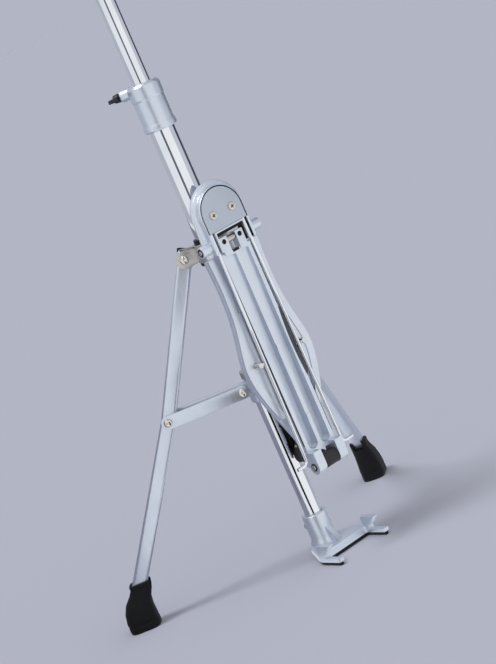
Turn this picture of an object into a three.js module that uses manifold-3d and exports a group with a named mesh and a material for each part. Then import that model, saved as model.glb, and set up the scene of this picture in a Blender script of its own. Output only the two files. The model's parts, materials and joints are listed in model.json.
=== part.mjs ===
import * as THREE from 'three';
import { mergeVertices } from 'three/addons/utils/BufferGeometryUtils.js';
import Module from 'manifold-3d';

const wasm = await Module();
wasm.setup();

// Hi-hat stand with its pedal folded up against the main tube. Millimetres, +Z up.
// The origin is on the floor, below the axis of the main tube. The pedal is on the -Y side.

// Fits and facets
const fit = 0.3;
const overrun = 2;
const tubeSides = 28;
const roundSides = 20;
const smallSides = 12;
const wireSides = 8;
const nutSides = 6;
const arcSteps = 6;

// Main tube, which ends above the floor with its front cut away for the drive link
const tubeRadius = 14.3;
const tubeWall = 1.5;
const tubeBottomZ = 118.7;
const tubeTopZ = 540;
const scoopHeight = 59.3;
const scoopSetback = 2;

// Lower post, set behind the main tube
const postRadius = 9.75;
const postWall = 1.5;
const postSetback = 29.3;
const postTopZ = 220;
const postFloorGap = 12;

// Lower bracket, which ties the two tubes and carries the stays
const bracketBottomZ = 187;
const bracketHeight = 26;
const bracketWall = 4.4;
const bracketPostWall = 3;
const bracketWebHalf = 10;
const setScrewRadius = 2.5;
const setScrewHeadRadius = 4.4;
const setScrewHeadHeight = 3.4;
const setBossRadius = 6;
const setBossReach = 5;

// Legs and stays
const legFromBackDegrees = 50;
const pivotRadius = 33;
const stayZ = 207.5;
const stayLength = 88;
const collarPivotZ = 364.5;
const lowerLegDegrees = 33.4;
const legDepth = 16;
const legWidth = 14;
const legWall = 1.5;
const legCorner = 3;
const legCornerSteps = 2;
const legOverPivot = 8;
const legEndZ = 36;
const barThickness = 2;
const barWidth = 15;
const rivetHeadRadius = 4.75;
const rivetHeadHeight = 2.4;
const rivetShankRadius = 2.6;
const rivetDomeShares = [[1, 0], [1, 0.35], [0.72, 0.85], [0, 1]];

// Leg collar, which slides on the main tube
const linerWall = 2.7;
const linerOver = 3.5;
const linerRise = 4.6;
const linerFlange = 2.2;
const collarWall = 2.9;
const collarHeight = 20;
const collarBossReach = 6;
const collarBossRadius = 5.2;
const collarScrewReach = 12.4;
const collarWingSpan = 20;
const collarWingDegrees = 28.5;

// Rubber feet, as sections from the top down
const footHeight = 52;
const footTopHalfDepth = 12.6;
const footTopHalfWidth = 10;
const footSoleHalfDepth = 18;
const footSoleHalfWidth = 14;
const footTopRadius = 224.5;
const footSoleRadius = 238;
const footHeightShares = [1, 0.9, 0.58, 0.22, 0];
const footSwellShares = [0, 0.06, 0.6, 1, 0.93];
const footShiftShares = [0, 0.12, 0.84, 1, 1];
const footCornerShare = 0.62;
const footCornerSteps = 3;

// Base shoe on the floor, with the two sockets for the radius rod's ends
const shoeFloorGap = 4;
const shoePlate = 8;
const shoeHalfWidth = 38;
const shoeArmWidth = 7;
const shoeArmHeight = 19;
const shoeArmReach = 22;
const shoeArmBackY = -2;
const shoeFrontY = -6;
const shoeSocketWall = 4.2;
const shoeSocketTopZ = 46;
const shoeBackHalfWidth = 15;
const socketGap = 0.8;
const socketMouthRise = 19;
const padThickness = 3.7;
const padInset = 1;

// Height clamp and its bush
const clampHeight = 52;
const clampCover = 38;
const clampWall = 4;
const clampBossRadius = 6.5;
const clampBossReach = 8;
const clampFromBackDegrees = 40;
const bushLength = 40;
const bushFlange = 2.6;

// Wing screws
const wingShankRadius = 2.6;
const wingHubRadius = 5;
const wingHubHeight = 7;
const wingThickness = 4;
const wingHeight = 8;
const wingSpan = 18;
const wingTip = 4;

// Upper tube and cymbal seat
const upperRadius = 10;
const upperWall = 1.2;
const upperBottomZ = 385;
const upperBelowTop = 235;
const tilterHeight = 28;
const tilterWall = 3.7;
const tilterTop = 5;
const tilterArmReach = 26;
const tilterArmHalfWidth = 6;
const tilterArmThickness = 8;
const tilterRidge = 3.7;
const tilterRidgeX = 11;
const tilterRidgeHalf = 2.2;
const seatRadius = 28;
const seatThickness = 4;
const seatSleeveHeight = 12;
const seatSleeveWall = 1.6;
const seatBoreRadius = 5;
const seatFeltRadius = 23;
const seatFeltHeight = 8;
const tiltKnobRadius = 5.4;
const tiltKnobHeight = 8;
const tiltShankRadius = 2.4;

// Pull rod with its spring
const rodRadius = 3;
const rodBottomZ = 128;
const rodTopZ = 1000;
const rodBushZ = 170;
const rodBushLength = 12;
const springLength = 58;
const springRadius = 7.6;
const springWireRadius = 1;
const springTurns = 7;
const springStepsPerTurn = 12;
const springWireSides = 6;
const springSeatRadius = 10.8;
const springSeatHeight = 5;
const rodEndHalfWidth = 5;
const rodEndFront = 7;
const rodEndBack = 5;
const rodEndTop = 22;
const rodEndDrop = 6;

// Drive link from the rod end to the toe of the footboard
const pinZ = 118;
const pinRadius = 2.5;
const pinHalfLength = 8.2;
const linkCheek = 3;
const linkEyeRadius = 7;
const linkNoseForward = 6;
const linkNoseRise = 13;
const linkNoseRadius = 3.4;
const linkBarHalf = 4.4;
const linkBlockHalf = 7.2;
const linkBlockRise = 8.6;
const linkBlockHalfWidth = 9.7;
const linkScrewRadius = 1.6;
const linkScrewHeight = 1.2;

// Footboard, standing upright, underside to the front
const toeAxleY = -41;
const toeAxleZ = 110;
const toeAxleRadius = 2.8;
const toeAxleHalf = 22.6;
const boardTopZ = 358.4;
const boardBottomZ = 122.6;
const boardHalfWidth = 20;
const boardBackY = -25;
const boardSkin = 3.5;
const boardDepth = 13.5;
const pocketInner = 2.3;
const pocketOuter = 15.4;
const pocketBottomZ = 127;
const pocketTopZ = 354;
const pocketRampZ = 300;
const wingHalfWidth = 46;
const wingLengthShares = [0, 0.06, 0.129, 0.225, 0.31, 0.382, 0.443, 0.507, 0.563, 0.644, 0.724, 0.805, 0.905, 1];
const wingWidthShares = [0.37, 0.38, 0.435, 0.62, 0.796, 0.913, 0.983, 1, 0.957, 0.859, 0.783, 0.75, 0.748, 0.776];
const wingSteps = 26;
const rimClearance = 2.2;
const rimHeight = 4.5;
const rimBottomShare = 0.24;
const lensBottomZ = 191;
const lensTopZ = 279;
const lensWidth = 7.6;
const lensOffset = 0.6;
const forkOuter = 21.2;
const forkRadius = 8.4;
const ribBossRadius = 2.4;
const ribBossHeight = 1;
const ribBossShares = [0.206, 0.54];
const clipX = 31.6;
const clipZ = 236;
const clipRadius = 3.2;
const clipTipY = -42;
const clipNose = 1.3;

// Heel plate on the heel axle
const heelAxleY = -35;
const heelAxleRise = 12.1;
const heelAxleRadius = 2.5;
const heelAxleHalf = 41.4;
const heelBossRadius = 6.2;
const heelBossInner = 27;
const heelBossOuter = 41;
const heelFrontY = -43.5;
const heelBackY = -33;
const heelArchRise = 30.5;
const heelFrontHalf = 28;
const heelBackHalf = 34;
const heelFootHalf = 35.5;
const heelArmDrop = 9.1;
const heelWindowHalf = 18.3;
const heelWindowRise = 11.5;
const coverHalf = 26.2;
const coverThickness = 1.6;
const coverRise = 13.5;
const coverScrewX = 13;
const coverScrewRise = 30.1;
const coverScrewRadius = 4.6;
const coverScrewHeight = 1.1;
const knuckleInner = 6;
const knuckleOuter = 16;
const knuckleHalf = 5;
const knuckleHoleRadius = 2.3;
const knuckleHoleDepth = 1.4;

// Radius rod, one bent wire clamped under the cover
const wireRadius = 1.9;
const wireY = -39.6;
const wireTopX = 22.6;
const wireToeX = 26.5;
const wireToeZ = 117;
const wireTipX = 41;
const wireBend = 5;
const wireBendSteps = 4;

// How far the drive link and the footboard turn as the pedal comes down to play
const linkSwingDegrees = 55;
const boardSwingDegrees = 50.7;
const heelSwingDegrees = 90 - linkSwingDegrees - boardSwingDegrees;

// Clutch on the pull rod
const clutchBelowTop = 150;
const clutchSleeveRadius = 5.4;
const clutchSleeveLength = 43;
const clutchHeadRadius = 9.5;
const clutchHeadHeight = 20;
const clutchNutRadius = 9;
const clutchNutHeight = 6;
const clutchFeltRadius = 17;
const clutchFeltHeight = 8;
const clutchGap = 8;
const clutchWingSpan = 12;

// Values worked out from the sizes above
const degree = Math.PI / 180;
const tubeInner = tubeRadius - tubeWall;
const postInner = postRadius - postWall;
const legHalfDepth = legDepth / 2;
const legHalfWidth = legWidth / 2;
const collarRadius = tubeRadius + fit + linerWall + fit + collarWall;
const collarBore = collarRadius - collarWall;
const upperLegAngle = Math.atan2(stayLength, collarPivotZ - stayZ);
const elbowRadius = pivotRadius + stayLength;
const lowerLegAngle = lowerLegDegrees * degree;
const boardFaceY = boardBackY - boardDepth;
const boardSkinY = boardBackY - boardSkin;
const boardLength = boardTopZ - toeAxleZ;
const shoeTopZ = shoeFloorGap + shoePlate;
const heelAxleZ = boardTopZ + heelAxleRise;
const heelArchZ = heelAxleZ + heelArchRise;
const heelArmBottomZ = heelAxleZ - heelArmDrop;
const heelWindowTopZ = heelAxleZ + heelWindowRise;
const coverBottomZ = heelAxleZ + coverRise;
const coverScrewZ = heelAxleZ + coverScrewRise;
const clutchBottomZ = rodTopZ - clutchBelowTop;
const upperTopZ = rodTopZ - upperBelowTop;
const rimWidth = wingHalfWidth - clipX - clipRadius - rimClearance;

// Turns a [y, z] step about the X axis
function swung([y, z], degrees) {
  const angle = degrees * degree;
  return [y * Math.cos(angle) - z * Math.sin(angle), y * Math.sin(angle) + z * Math.cos(angle)];
}

// Where the radius rod's ends lie once the pedal is down
const toeSwung = swung([toeAxleY, toeAxleZ - pinZ], linkSwingDegrees);
const heelSwung = swung([heelAxleY - toeAxleY, heelAxleZ - toeAxleZ], linkSwingDegrees + boardSwingDegrees);
const wireSwung = swung(
  [wireY - heelAxleY, wireToeZ - heelAxleZ],
  linkSwingDegrees + boardSwingDegrees + heelSwingDegrees,
);
const socketY = toeSwung[0] + heelSwung[0] + wireSwung[0];
const socketZ = pinZ + toeSwung[1] + heelSwung[1] + wireSwung[1];
const shoeArmFrontY = socketY - shoeArmReach;

// Finishes
const finishes = {
  chrome: [0xdfe5ee, 0.12, 1],
  casting: [0xc3cfdc, 0.38, 0.85],
  aluminium: [0xcdd6e2, 0.25, 0.95],
  cover: [0xb4becd, 0.45, 0.6],
  steel: [0xb9b2aa, 0.35, 0.9],
  nickel: [0xcfc8b8, 0.25, 1],
  darkSteel: [0x3a3a3e, 0.45, 0.8],
  blackNylon: [0x1c1d21, 0.6, 0],
  rubber: [0x17181b, 0.85, 0],
  felt: [0x8e9096, 0.95, 0],
};

const part = new THREE.Group();

function addMesh(parent, name, geometry, finishName) {
  const [color, roughness, metalness] = finishes[finishName];
  const material = new THREE.MeshStandardMaterial({ color, roughness, metalness });
  const mesh = new THREE.Mesh(geometry, material);
  mesh.name = name;
  parent.add(mesh);
  return mesh;
}

// Joins equal vertices and turns the faces outward
function closed(geometry) {
  const bare = geometry.clone();
  bare.deleteAttribute('normal');
  bare.deleteAttribute('uv');
  const welded = mergeVertices(bare);
  const corners = [new THREE.Vector3(), new THREE.Vector3(), new THREE.Vector3()];
  const index = Array.from(welded.index.array);
  let volume = 0;
  for (let i = 0; i < index.length; i += 3) {
    corners.forEach((corner, k) => corner.fromBufferAttribute(welded.attributes.position, index[i + k]));
    volume += corners[0].dot(corners[1].clone().cross(corners[2]));
  }
  if (volume < 0) {
    for (let i = 0; i < index.length; i += 3) {
      [index[i + 1], index[i + 2]] = [index[i + 2], index[i + 1]];
    }
    welded.setIndex(index);
  }
  return welded;
}

function toSolid(geometry) {
  const welded = closed(geometry);
  const vertProperties = new Float32Array(welded.attributes.position.array);
  const triVerts = new Uint32Array(welded.index.array);
  return new wasm.Manifold(new wasm.Mesh({ numProp: 3, vertProperties, triVerts }));
}

function toGeometry(solid) {
  const mesh = solid.getMesh();
  const geometry = new THREE.BufferGeometry();
  geometry.setAttribute('position', new THREE.BufferAttribute(new Float32Array(mesh.vertProperties), 3));
  geometry.setIndex(Array.from(mesh.triVerts));
  return mergeVertices(geometry);
}

function combine(bodies, cuts = []) {
  let solid = toSolid(bodies[0]);
  bodies.slice(1).forEach((body) => {
    solid = solid.add(toSolid(body));
  });
  cuts.forEach((cut) => {
    solid = solid.subtract(toSolid(cut));
  });
  return toGeometry(solid);
}

function common(first, second) {
  return toGeometry(toSolid(first).intersect(toSolid(second)));
}

// Round bar between two points given as [x, y, z]
function bar(radius, from, to, sides = roundSides) {
  const start = new THREE.Vector3(...from);
  const end = new THREE.Vector3(...to);
  const axis = end.clone().sub(start);
  const geometry = new THREE.CylinderGeometry(radius, radius, axis.length(), sides);
  const turn = new THREE.Quaternion().setFromUnitVectors(new THREE.Vector3(0, 1, 0), axis.clone().normalize());
  geometry.applyQuaternion(turn);
  geometry.translate(...start.add(end).multiplyScalar(0.5).toArray());
  return geometry;
}

function box(x0, x1, y0, y1, z0, z1) {
  const geometry = new THREE.BoxGeometry(x1 - x0, y1 - y0, z1 - z0);
  geometry.translate((x0 + x1) / 2, (y0 + y1) / 2, (z0 + z1) / 2);
  return geometry;
}

// Solid of revolution about Z from a profile of [radius, z] points
function turned(profile, sides = roundSides) {
  const points = profile.map(([radius, z]) => new THREE.Vector2(radius, z));
  const geometry = new THREE.LatheGeometry(points, sides);
  geometry.rotateX(Math.PI / 2);
  return closed(geometry);
}

function tube(inner, outer, z0, z1, sides = roundSides) {
  return turned([[inner, z0], [outer, z0], [outer, z1], [inner, z1], [inner, z0]], sides);
}

function shapeOf(points) {
  return new THREE.Shape(points.map(([x, y]) => new THREE.Vector2(x, y)));
}

// Outline with round ends about two points
function stadium(x0, y0, x1, y1, radius) {
  const heading = Math.atan2(y1 - y0, x1 - x0);
  const points = [];
  for (const [x, y, start] of [[x1, y1, heading - Math.PI / 2], [x0, y0, heading + Math.PI / 2]]) {
    for (let i = 0; i <= arcSteps; i += 1) {
      const angle = start + (Math.PI * i) / arcSteps;
      points.push([x + radius * Math.cos(angle), y + radius * Math.sin(angle)]);
    }
  }
  return shapeOf(points);
}

function extruded(shape, depth) {
  return new THREE.ExtrudeGeometry(shape, { depth, bevelEnabled: false, curveSegments: arcSteps });
}

// Extrusions of an outline in the XY, XZ and YZ planes
function slabXY(shape, z0, z1) {
  return extruded(shape, z1 - z0).translate(0, 0, z0);
}

function slabXZ(shape, y0, y1) {
  return extruded(shape, y1 - y0).rotateX(Math.PI / 2).translate(0, y1, 0);
}

function slabYZ(shape, x0, x1) {
  const basis = new THREE.Matrix4().makeBasis(
    new THREE.Vector3(0, 1, 0),
    new THREE.Vector3(0, 0, 1),
    new THREE.Vector3(1, 0, 0),
  );
  return extruded(shape, x1 - x0).applyMatrix4(basis).translate(x0, 0, 0);
}

// Skin over rings with equal numbers of points, closed by end faces or into a loop
function skinned(rings, loop = false) {
  const count = rings[0].length;
  const positions = rings.flat().flatMap((point) => point.toArray());
  const index = [];
  const last = loop ? rings.length : rings.length - 1;
  for (let i = 0; i < last; i += 1) {
    const next = (i + 1) % rings.length;
    for (let j = 0; j < count; j += 1) {
      const k = (j + 1) % count;
      index.push(i * count + j, i * count + k, next * count + k);
      index.push(i * count + j, next * count + k, next * count + j);
    }
  }
  if (!loop) {
    const end = (rings.length - 1) * count;
    for (let j = 1; j < count - 1; j += 1) {
      index.push(0, j + 1, j);
      index.push(end, end + j, end + j + 1);
    }
  }
  const geometry = new THREE.BufferGeometry();
  geometry.setAttribute('position', new THREE.Float32BufferAttribute(positions, 3));
  geometry.setIndex(index);
  return closed(geometry);
}

// Round wire along points, with mitred corners
function wire(points, radius, sides) {
  const rings = points.map((point, i) => {
    const before = point.clone().sub(points[Math.max(i - 1, 0)]).normalize();
    const after = points[Math.min(i + 1, points.length - 1)].clone().sub(point).normalize();
    const tangent = before.clone().add(after).normalize();
    const along = i === 0 ? after : before;
    const side = new THREE.Vector3().crossVectors(tangent, new THREE.Vector3(0, 1, 0)).normalize();
    const over = new THREE.Vector3().crossVectors(side, tangent);
    const stretch = 1 / Math.max(tangent.dot(along), Math.SQRT1_2);
    return Array.from({ length: sides }, (_, j) => {
      const angle = (2 * Math.PI * j) / sides;
      return point.clone()
        .addScaledVector(side, radius * stretch * Math.cos(angle))
        .addScaledVector(over, radius * Math.sin(angle));
    });
  });
  return skinned(rings);
}

function roundedRing(halfX, halfY, corner, steps) {
  const points = [];
  for (const [sx, sy, start] of [[1, 1, 0], [-1, 1, 90], [-1, -1, 180], [1, -1, 270]]) {
    for (let i = 0; i <= steps; i += 1) {
      const angle = (start + (90 * i) / steps) * degree;
      points.push([sx * (halfX - corner) + corner * Math.cos(angle), sy * (halfY - corner) + corner * Math.sin(angle)]);
    }
  }
  return points;
}

// Wing screw pointing along +Z, its tip at the origin
function wingScrew(shankLength, span) {
  const hubTop = shankLength + wingHubHeight;
  const wings = slabXZ(stadium(wingTip - span, hubTop, span - wingTip, hubTop, wingTip), -wingThickness / 2, wingThickness / 2);
  return combine([
    bar(wingShankRadius, [0, 0, 0], [0, 0, shankLength + wingHubHeight / 2], smallSides),
    bar(wingHubRadius, [0, 0, shankLength], [0, 0, hubTop + wingHeight / 4], smallSides),
    wings,
  ]);
}

// Profile of a domed rivet head that stands on a plate face at height z
function rivetDome(z) {
  return rivetDomeShares.map(([radiusShare, heightShare]) => [rivetHeadRadius * radiusShare, z + rivetHeadHeight * heightShare]);
}

// The cutter for an axle along X, with its clearance
function axleHole(radius, half, y, z) {
  const reach = half + overrun;
  return bar(radius + fit, [-reach, y, z], [reach, y, z], smallSides);
}

// Main tube
function mainTube() {
  const scoop = box(
    -tubeRadius - overrun,
    tubeRadius + overrun,
    -tubeRadius - overrun,
    scoopSetback,
    tubeBottomZ - overrun,
    tubeBottomZ + scoopHeight,
  );
  return combine([tube(tubeInner, tubeRadius, tubeBottomZ, tubeTopZ, tubeSides)], [scoop]);
}

// Lower post
function basePost() {
  return tube(postInner, postRadius, postFloorGap, postTopZ).translate(0, postSetback, 0);
}

function setScrew(tipY, faceY, z) {
  return combine([
    bar(setScrewRadius, [0, tipY, z], [0, faceY + setScrewHeadHeight / 2, z], smallSides),
    bar(setScrewHeadRadius, [0, faceY, z], [0, faceY + setScrewHeadHeight, z], smallSides),
  ]);
}

function lowerBracket() {
  const top = bracketBottomZ + bracketHeight;
  const outer = tubeRadius + fit + bracketWall;
  const postOuter = postRadius + fit + bracketPostWall;
  const bossZ = bracketBottomZ + bracketHeight / 2;
  const ears = [-1, 1].map((side) => {
    const shape = stadium(0, stayZ, pivotRadius, stayZ, barWidth / 2 - fit);
    return slabXZ(shape, -legHalfWidth, legHalfWidth).rotateZ((90 - side * legFromBackDegrees) * degree);
  });
  const earHoles = [-1, 1].map((side) => {
    const hole = bar(rivetShankRadius + fit, [pivotRadius, -legWidth, stayZ], [pivotRadius, legWidth, stayZ], smallSides);
    return hole.rotateZ((90 - side * legFromBackDegrees) * degree);
  });
  return combine([
    bar(outer, [0, 0, bracketBottomZ], [0, 0, top], tubeSides),
    bar(postOuter, [0, postSetback, bracketBottomZ], [0, postSetback, top]),
    box(-bracketWebHalf, bracketWebHalf, 0, postSetback, bracketBottomZ, top),
    bar(setBossRadius, [0, postSetback, bossZ], [0, postSetback + postOuter + setBossReach, bossZ], smallSides),
    ...ears,
  ], [
    bar(tubeRadius + fit, [0, 0, bracketBottomZ - overrun], [0, 0, top + overrun], tubeSides),
    bar(postRadius + fit, [0, postSetback, bracketBottomZ - overrun], [0, postSetback, top + overrun]),
    bar(setScrewRadius + fit, [0, postSetback, bossZ], [0, postSetback + postOuter + setBossReach + overrun, bossZ], smallSides),
    ...earHoles,
  ]);
}

function bracketScrew() {
  const face = postSetback + postRadius + fit + bracketPostWall + setBossReach + fit;
  return setScrew(postSetback + postRadius + fit, face, bracketBottomZ + bracketHeight / 2);
}

// Base shoe
function shoeOutline(inset) {
  const half = shoeHalfWidth - inset;
  const back = postSetback + postRadius + fit + shoeSocketWall - inset;
  const armInner = shoeHalfWidth - shoeArmWidth + inset;
  return shapeOf([
    [-half, shoeArmFrontY + inset],
    [-armInner, shoeArmFrontY + inset],
    [-armInner, shoeFrontY + inset],
    [armInner, shoeFrontY + inset],
    [armInner, shoeArmFrontY + inset],
    [half, shoeArmFrontY + inset],
    [half, shoeArmBackY],
    [shoeBackHalfWidth - inset, back],
    [inset - shoeBackHalfWidth, back],
    [-half, shoeArmBackY],
  ]);
}

function baseShoe() {
  const socketOuter = postRadius + fit + shoeSocketWall;
  const bossZ = (shoeTopZ + shoeSocketTopZ) / 2;
  const slotHalf = wireRadius + socketGap;
  const armTop = shoeFloorGap + shoeArmHeight;
  const slot = shapeOf([
    [shoeArmFrontY - overrun, socketZ - slotHalf],
    [socketY + slotHalf, socketZ - slotHalf],
    [socketY + slotHalf, socketZ + slotHalf],
    [socketY, socketZ + slotHalf],
    [shoeArmFrontY - overrun, socketZ + slotHalf + socketMouthRise],
  ]);
  const arms = [-1, 1].map((side) => {
    const inner = side * (shoeHalfWidth - shoeArmWidth);
    const outer = side * shoeHalfWidth;
    return box(Math.min(inner, outer), Math.max(inner, outer), shoeArmFrontY, shoeArmBackY, shoeFloorGap, armTop);
  });
  return combine([
    slabXY(shoeOutline(0), shoeFloorGap, shoeTopZ),
    bar(socketOuter, [0, postSetback, shoeFloorGap], [0, postSetback, shoeSocketTopZ]),
    bar(setBossRadius, [0, postSetback, bossZ], [0, postSetback + socketOuter + setBossReach, bossZ], smallSides),
    ...arms,
  ], [
    bar(postRadius + fit, [0, postSetback, postFloorGap - fit], [0, postSetback, shoeSocketTopZ + overrun]),
    bar(setScrewRadius + fit, [0, postSetback, bossZ], [0, postSetback + socketOuter + setBossReach + overrun, bossZ], smallSides),
    slabYZ(slot, -shoeHalfWidth - overrun, shoeHalfWidth + overrun),
  ]);
}

function shoeScrew() {
  const face = postSetback + postRadius + fit + shoeSocketWall + setBossReach + fit;
  return setScrew(postSetback + postRadius + fit, face, (shoeTopZ + shoeSocketTopZ) / 2);
}

// Height clamp, its bush and its wing screw
const clampBottomZ = tubeTopZ - clampCover;
const clampTopZ = clampBottomZ + clampHeight;
const clampRadius = tubeRadius + fit + clampWall;
const clampScrewZ = (tubeTopZ + bushFlange + fit + clampTopZ) / 2;
const clampTurn = (90 + clampFromBackDegrees) * degree;

function heightClamp() {
  const reach = clampRadius + clampBossReach;
  const boss = bar(clampBossRadius, [0, 0, clampScrewZ], [reach, 0, clampScrewZ], smallSides);
  const hole = bar(wingShankRadius + fit, [0, 0, clampScrewZ], [reach + overrun, 0, clampScrewZ], smallSides);
  const seatZ = tubeTopZ + fit + bushFlange + fit;
  return combine([
    bar(clampRadius, [0, 0, clampBottomZ], [0, 0, clampTopZ], tubeSides),
    boss.rotateZ(clampTurn),
  ], [
    bar(tubeRadius + fit, [0, 0, clampBottomZ - overrun], [0, 0, seatZ], tubeSides),
    bar(upperRadius + fit, [0, 0, clampBottomZ], [0, 0, clampTopZ + overrun]),
    hole.rotateZ(clampTurn),
  ]);
}

function heightBush() {
  const top = tubeTopZ + fit;
  return turned([
    [upperRadius + fit, top - bushLength],
    [tubeInner - fit, top - bushLength],
    [tubeInner - fit, top],
    [tubeRadius, top],
    [tubeRadius, top + bushFlange],
    [upperRadius + fit, top + bushFlange],
    [upperRadius + fit, top - bushLength],
  ], roundSides);
}

// Pull rod guides and spring
function returnSpring() {
  const bottom = rodBushZ + rodBushLength + fit + springWireRadius;
  const rise = springLength - 2 * springWireRadius - 2 * fit;
  const steps = springTurns * springStepsPerTurn;
  const rings = Array.from({ length: steps + 1 }, (_, i) => {
    const turn = (2 * Math.PI * i) / springStepsPerTurn;
    const centre = new THREE.Vector3(springRadius * Math.cos(turn), springRadius * Math.sin(turn), bottom + (rise * i) / steps);
    const out = new THREE.Vector3(Math.cos(turn), Math.sin(turn), 0);
    return Array.from({ length: springWireSides }, (__, j) => {
      const angle = (2 * Math.PI * j) / springWireSides;
      return centre.clone()
        .addScaledVector(out, springWireRadius * Math.cos(angle))
        .addScaledVector(new THREE.Vector3(0, 0, 1), springWireRadius * Math.sin(angle));
    });
  });
  return skinned(rings);
}

function rodEnd() {
  const hole = bar(pinRadius + fit, [-rodEndHalfWidth - overrun, 0, pinZ], [rodEndHalfWidth + overrun, 0, pinZ], smallSides);
  const bore = bar(rodRadius + fit, [0, 0, rodBottomZ - fit], [0, 0, pinZ + rodEndTop + overrun], smallSides);
  const body = box(-rodEndHalfWidth, rodEndHalfWidth, -rodEndFront, rodEndBack, pinZ - rodEndDrop, pinZ + rodEndTop);
  return combine([body], [hole, bore]);
}

// Drive link
const cheekInner = rodEndHalfWidth + fit;
const cheekOuter = cheekInner + linkCheek;

function driveLink() {
  const cheeks = [-1, 1].flatMap((side) => {
    const x0 = Math.min(side * cheekInner, side * cheekOuter);
    const x1 = Math.max(side * cheekInner, side * cheekOuter);
    return [
      slabYZ(stadium(0, pinZ, -linkNoseForward, pinZ + linkNoseRise, linkNoseRadius), x0, x1),
      slabYZ(stadium(toeAxleY, toeAxleZ, 0, pinZ, linkBarHalf), x0, x1),
      bar(linkEyeRadius, [x0, 0, pinZ], [x1, 0, pinZ]),
    ];
  });
  const block = shapeOf([
    [toeAxleY - linkBlockHalf, toeAxleZ - linkBlockHalf / 2],
    [toeAxleY - linkBlockHalf / 2, toeAxleZ - linkBlockHalf],
    [toeAxleY + linkBlockHalf, toeAxleZ - linkBlockHalf],
    [toeAxleY + linkBlockHalf, toeAxleZ + linkBlockRise],
    [toeAxleY - linkBlockHalf / 2, toeAxleZ + linkBlockRise],
    [toeAxleY - linkBlockHalf, toeAxleZ + linkBlockHalf / 2],
  ]);
  return combine([
    slabYZ(block, -linkBlockHalfWidth, linkBlockHalfWidth),
    ...cheeks,
  ], [
    bar(toeAxleRadius + fit, [-toeAxleHalf, toeAxleY, toeAxleZ], [toeAxleHalf, toeAxleY, toeAxleZ], smallSides),
    bar(pinRadius + fit, [-toeAxleHalf, 0, pinZ], [toeAxleHalf, 0, pinZ], smallSides),
  ]);
}

function linkScrew() {
  const y = -linkNoseForward;
  const z = pinZ + linkNoseRise;
  const x = -cheekOuter - fit;
  return bar(linkScrewRadius, [x, y, z], [x - linkScrewHeight, y, z], smallSides);
}

// Footboard
function wingCurve(inset) {
  const points = wingLengthShares.map((lengthShare, i) => {
    const half = wingHalfWidth * wingWidthShares[i] - inset;
    return new THREE.Vector2(half, toeAxleZ + boardLength * lengthShare);
  });
  return new THREE.SplineCurve(points).getSpacedPoints(wingSteps);
}

function footboardPlate() {
  const edge = wingCurve(0).map((point) => [point.x, Math.min(point.y, boardTopZ)]);
  const lower = edge.findIndex(([, z]) => z > boardBottomZ);
  const side = [[edge[lower][0], boardBottomZ], ...edge.slice(lower)];
  const outline = shapeOf([...side, ...side.map(([x, z]) => [-x, z]).reverse()]);
  for (const sign of [-1, 1]) {
    const inner = sign * (boardHalfWidth + lensOffset);
    const hole = new THREE.Path();
    hole.moveTo(inner, lensBottomZ);
    hole.quadraticCurveTo(inner + sign * 2 * lensWidth, (lensBottomZ + lensTopZ) / 2, inner, lensTopZ);
    hole.closePath();
    outline.holes.push(hole);
  }
  return slabXZ(outline, boardSkinY, boardBackY);
}

function footboardRims() {
  const outer = wingCurve(0);
  const inner = wingCurve(rimWidth);
  const bottom = toeAxleZ + boardLength * rimBottomShare;
  const points = outer.map((point, i) => [point, inner[i]]).filter(([point]) => point.y > bottom);
  return [-1, 1].map((sign) => {
    const band = shapeOf([
      ...points.map(([point]) => [sign * point.x, Math.min(point.y, boardTopZ)]),
      ...points.map(([, point]) => [sign * point.x, Math.min(point.y, boardTopZ)]).reverse(),
    ]);
    return slabXZ(band, boardSkinY - rimHeight, boardSkinY + boardSkin / 2);
  });
}

function footboardPockets() {
  const radius = (pocketOuter - pocketInner) / 2;
  const ramp = slabYZ(shapeOf([
    [boardFaceY - overrun, pocketBottomZ - overrun],
    [boardSkinY, pocketBottomZ - overrun],
    [boardSkinY, pocketRampZ],
    [boardFaceY, pocketTopZ],
    [boardFaceY - overrun, pocketTopZ],
  ]), -boardHalfWidth, boardHalfWidth);
  return [-1, 1].map((sign) => {
    const centre = sign * (pocketInner + radius);
    const slot = stadium(centre, pocketBottomZ + radius, centre, pocketTopZ + radius, radius);
    return common(slabXZ(slot, boardFaceY - overrun, boardBackY), ramp);
  });
}

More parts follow.
